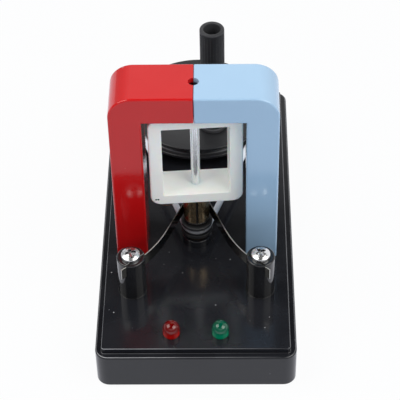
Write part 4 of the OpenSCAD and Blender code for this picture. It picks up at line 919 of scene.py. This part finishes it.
def fluted_grip(around=320, wall_rows=60):
    """A turned sleeve whose outer radius dips into flutes: at the angle f from a flute's middle it is the flute
    circle's near side, c * cos f - sqrt(r^2 - (c * sin f)^2) with c just outside the grip. The dip fades out over half
    a millimetre at both ends. Also gives each point's share of a ridge, for the painted highlight on the ridges."""
    path = soften([(grip_hole_r, 0), (grip_foot_r, 0), (grip_foot_r, grip_foot_h), (grip_r, grip_foot_h),
                   (grip_r, grip_h), (grip_bore_r, grip_h), (grip_bore_r, grip_floor_h), (grip_hole_r, grip_floor_h),
                   (grip_hole_r, 0)], [0.25, 0.35, 0.15, 0.5, 0.35, 0.2, 0.05], steps=7)[:-1]
    outer = np.argmax((path[:, 0] < grip_r + 0.01) & (path[:, 1] > grip_foot_h + 0.1))
    wall = np.stack([np.full(wall_rows, grip_r), np.linspace(path[outer, 1] + 0.05, grip_h - 0.6, wall_rows)], -1)
    path = np.vstack([path[:outer + 1], wall, path[outer + 1:]])
    a = np.linspace(0, 2 * np.pi, around, endpoint=False)
    pitch = 2 * np.pi / flutes
    off = (a + pitch / 2) % pitch - pitch / 2
    centre = grip_r + flute_out
    near = centre * np.cos(off) - np.sqrt(np.clip(flute_r ** 2 - (centre * np.sin(off)) ** 2, 0, None))
    dip = np.where(np.abs(centre * np.sin(off)) < flute_r, np.clip(grip_r - near, 0, None), 0)
    fade = np.clip((path[:, 1] - grip_foot_h - 0.5) / flute_fade, 0, 1)
    fade *= np.clip((grip_h - 1.2 - path[:, 1]) / flute_fade, 0, 1)
    fade = np.where(path[:, 0] > grip_bore_r + 0.3, np.sqrt(fade), 0)[:, None]
    r = path[:, :1] - fade * dip
    ridge_highlight = fade * (1 - dip / dip.max()) + 0.3 * (1 - fade)
    return points_of(grip_x + r * np.cos(a), grip_y + r * np.sin(a), grip_z + path[:, 1:]), ridge_highlight


sleeve, ridge_highlight = fluted_grip()
grip = make_piece("grip", [skin(sleeve, closed=True)], grip_black, "grip", "crank_grip", sharp=40)
mark(grip, "painted_light_and_shade", ridge_highlight)
dress(chromed_steel, "grip_screw")

# The stage: a pale sweep of floor under two softboxes, one from the left and one from the right front, in a white room.
# The camera looks down at the front from 45 degrees through a long lens.
floor_half, floor_white = 6.0, 0.955
floor_mesh = bpy.data.meshes.new("floor")
floor_corners = np.array([(-1, -1, 0), (1, -1, 0), (1, 1, 0), (-1, 1, 0)]) * floor_half
floor_mesh.from_pydata(floor_corners, [], [(0, 1, 2, 3)])
floor = bpy.data.objects.new("floor", floor_mesh)
bpy.context.scene.collection.objects.link(floor)

# To the camera and in reflections the floor is near white and keeps a little of the shadow; to other rays it is paper.
floor_paper = bpy.data.materials.new("floor_paper")
floor_paper.use_nodes = True
tree = floor_paper.node_tree
tree.nodes.clear()
rays = put(tree, "ShaderNodeLightPath").outputs
seen = work_out(tree, "MAXIMUM", rays["Is Camera Ray"], rays["Is Glossy Ray"])
seen = work_out(tree, "MAXIMUM", seen, rays["Is Transmission Ray"])
fibre = blend_tint(tree, noise(tree, 300.0, 3.0), (0.57, 0.62, 0.7), (0.59, 0.64, 0.72))
paper = put(tree, "ShaderNodeBsdfDiffuse", {"Color": fibre}).outputs[0]
sheen = blend_tint(tree, rays["Is Glossy Ray"], (1, 1, 1), (0.99, 1.0, 1.07))
lit = put(tree, "ShaderNodeEmission", {"Color": sheen, "Strength": 1.0}).outputs[0]
mixed = put(tree, "ShaderNodeMixShader", {0: work_out(tree, "MULTIPLY", seen, floor_white), 1: paper, 2: lit})
put(tree, "ShaderNodeOutputMaterial", {"Surface": mixed.outputs[0]})
floor_mesh.materials.append(floor_paper)

# The room: white to the camera, an even fill to the object, and in reflections a bright band low round the sky that
# is dimmer to the left and behind the camera.
room_fill, sky_level = 0.4, 1.1
world = bpy.data.worlds.new("white_room")
bpy.context.scene.world = world
world.use_nodes = True
tree = world.node_tree
tree.nodes.clear()
rays = put(tree, "ShaderNodeLightPath").outputs
toward = put(tree, "ShaderNodeTexCoord").outputs["Generated"]
to_right, to_rear, to_zenith = put(tree, "ShaderNodeSeparateXYZ", {0: toward}).outputs
mirrored = spread(tree, to_zenith, 0.655, 0.72, sky_level, 0.0)
mirrored = work_out(tree, "MULTIPLY", mirrored, spread(tree, to_right, -0.65, -0.05, 0.4, 1.0))
behind_camera = work_out(tree, "MAXIMUM", spread(tree, to_zenith, 0.25, 0.6, 0.2, 1.0),
                         spread(tree, to_rear, -0.4, 0.1))
mirrored = work_out(tree, "MULTIPLY", mirrored, behind_camera)
room = put(tree, "ShaderNodeMix", {0: rays["Is Camera Ray"], 2: room_fill, 3: 1.0}).outputs[0]
room = put(tree, "ShaderNodeMix", {0: rays["Is Glossy Ray"], 2: room, 3: mirrored}).outputs[0]
cool = blend_tint(tree, rays["Is Diffuse Ray"], (1, 1, 1), (0.93, 1.0, 1.1))
white = put(tree, "ShaderNodeBackground", {"Color": cool, "Strength": room}).outputs[0]
put(tree, "ShaderNodeOutputWorld", {"Surface": white})


def stand_at(name, data, side, up, back, place):
    """Puts a lamp or camera at a place, with its own X, Y and Z along side, up and back."""
    stood = bpy.data.objects.new(name, data)
    stood.matrix_world = Matrix(np.vstack([np.column_stack([side, up, back, place]), [0, 0, 0, 1]]).tolist())
    bpy.context.scene.collection.objects.link(stood)
    return stood


box_aim, box_distance, box_w, box_h, box_watts = np.array([0.0, -0.02, 0.03]), 0.55, 0.42, 0.36, 1.99
for which, azimuth, elevation in (("left", -95, 53), ("right", 116, 46)):
    az, el = np.radians([azimuth, elevation])
    back = np.array([np.sin(az) * np.cos(el), np.cos(az) * np.cos(el), np.sin(el)])
    side = unit(np.cross([0, 0, 1], back))
    softbox = bpy.data.lights.new(f"{which}_softbox", "AREA")
    softbox.shape, softbox.size, softbox.size_y, softbox.energy = "RECTANGLE", box_w, box_h, box_watts
    softbox.color = (1.0, 0.985, 0.94)
    stand_at(softbox.name, softbox, side, np.cross(back, side), back, box_aim + box_distance * back)

camera_lens = bpy.data.cameras.new("camera")
camera_lens.lens, camera_lens.sensor_width = 140.15, 36.0
camera_lens.clip_start, camera_lens.clip_end = 0.01, 20.0
pitch, yaw, roll = np.radians([45.015, -1.451, -1.297])
camera_place = np.array([9.465, -344.324, 361.375]) * mm
forward = np.array([np.sin(yaw) * np.cos(pitch), np.cos(yaw) * np.cos(pitch), -np.sin(pitch)])
level = np.array([np.cos(yaw), -np.sin(yaw), 0])
upright = np.cross(level, forward)
right = level * np.cos(roll) + upright * np.sin(roll)
top = -level * np.sin(roll) + upright * np.cos(roll)
bpy.context.scene.camera = stand_at("camera", camera_lens, right, top, -forward, camera_place)
bpy.context.scene.view_settings.view_transform = "Standard"
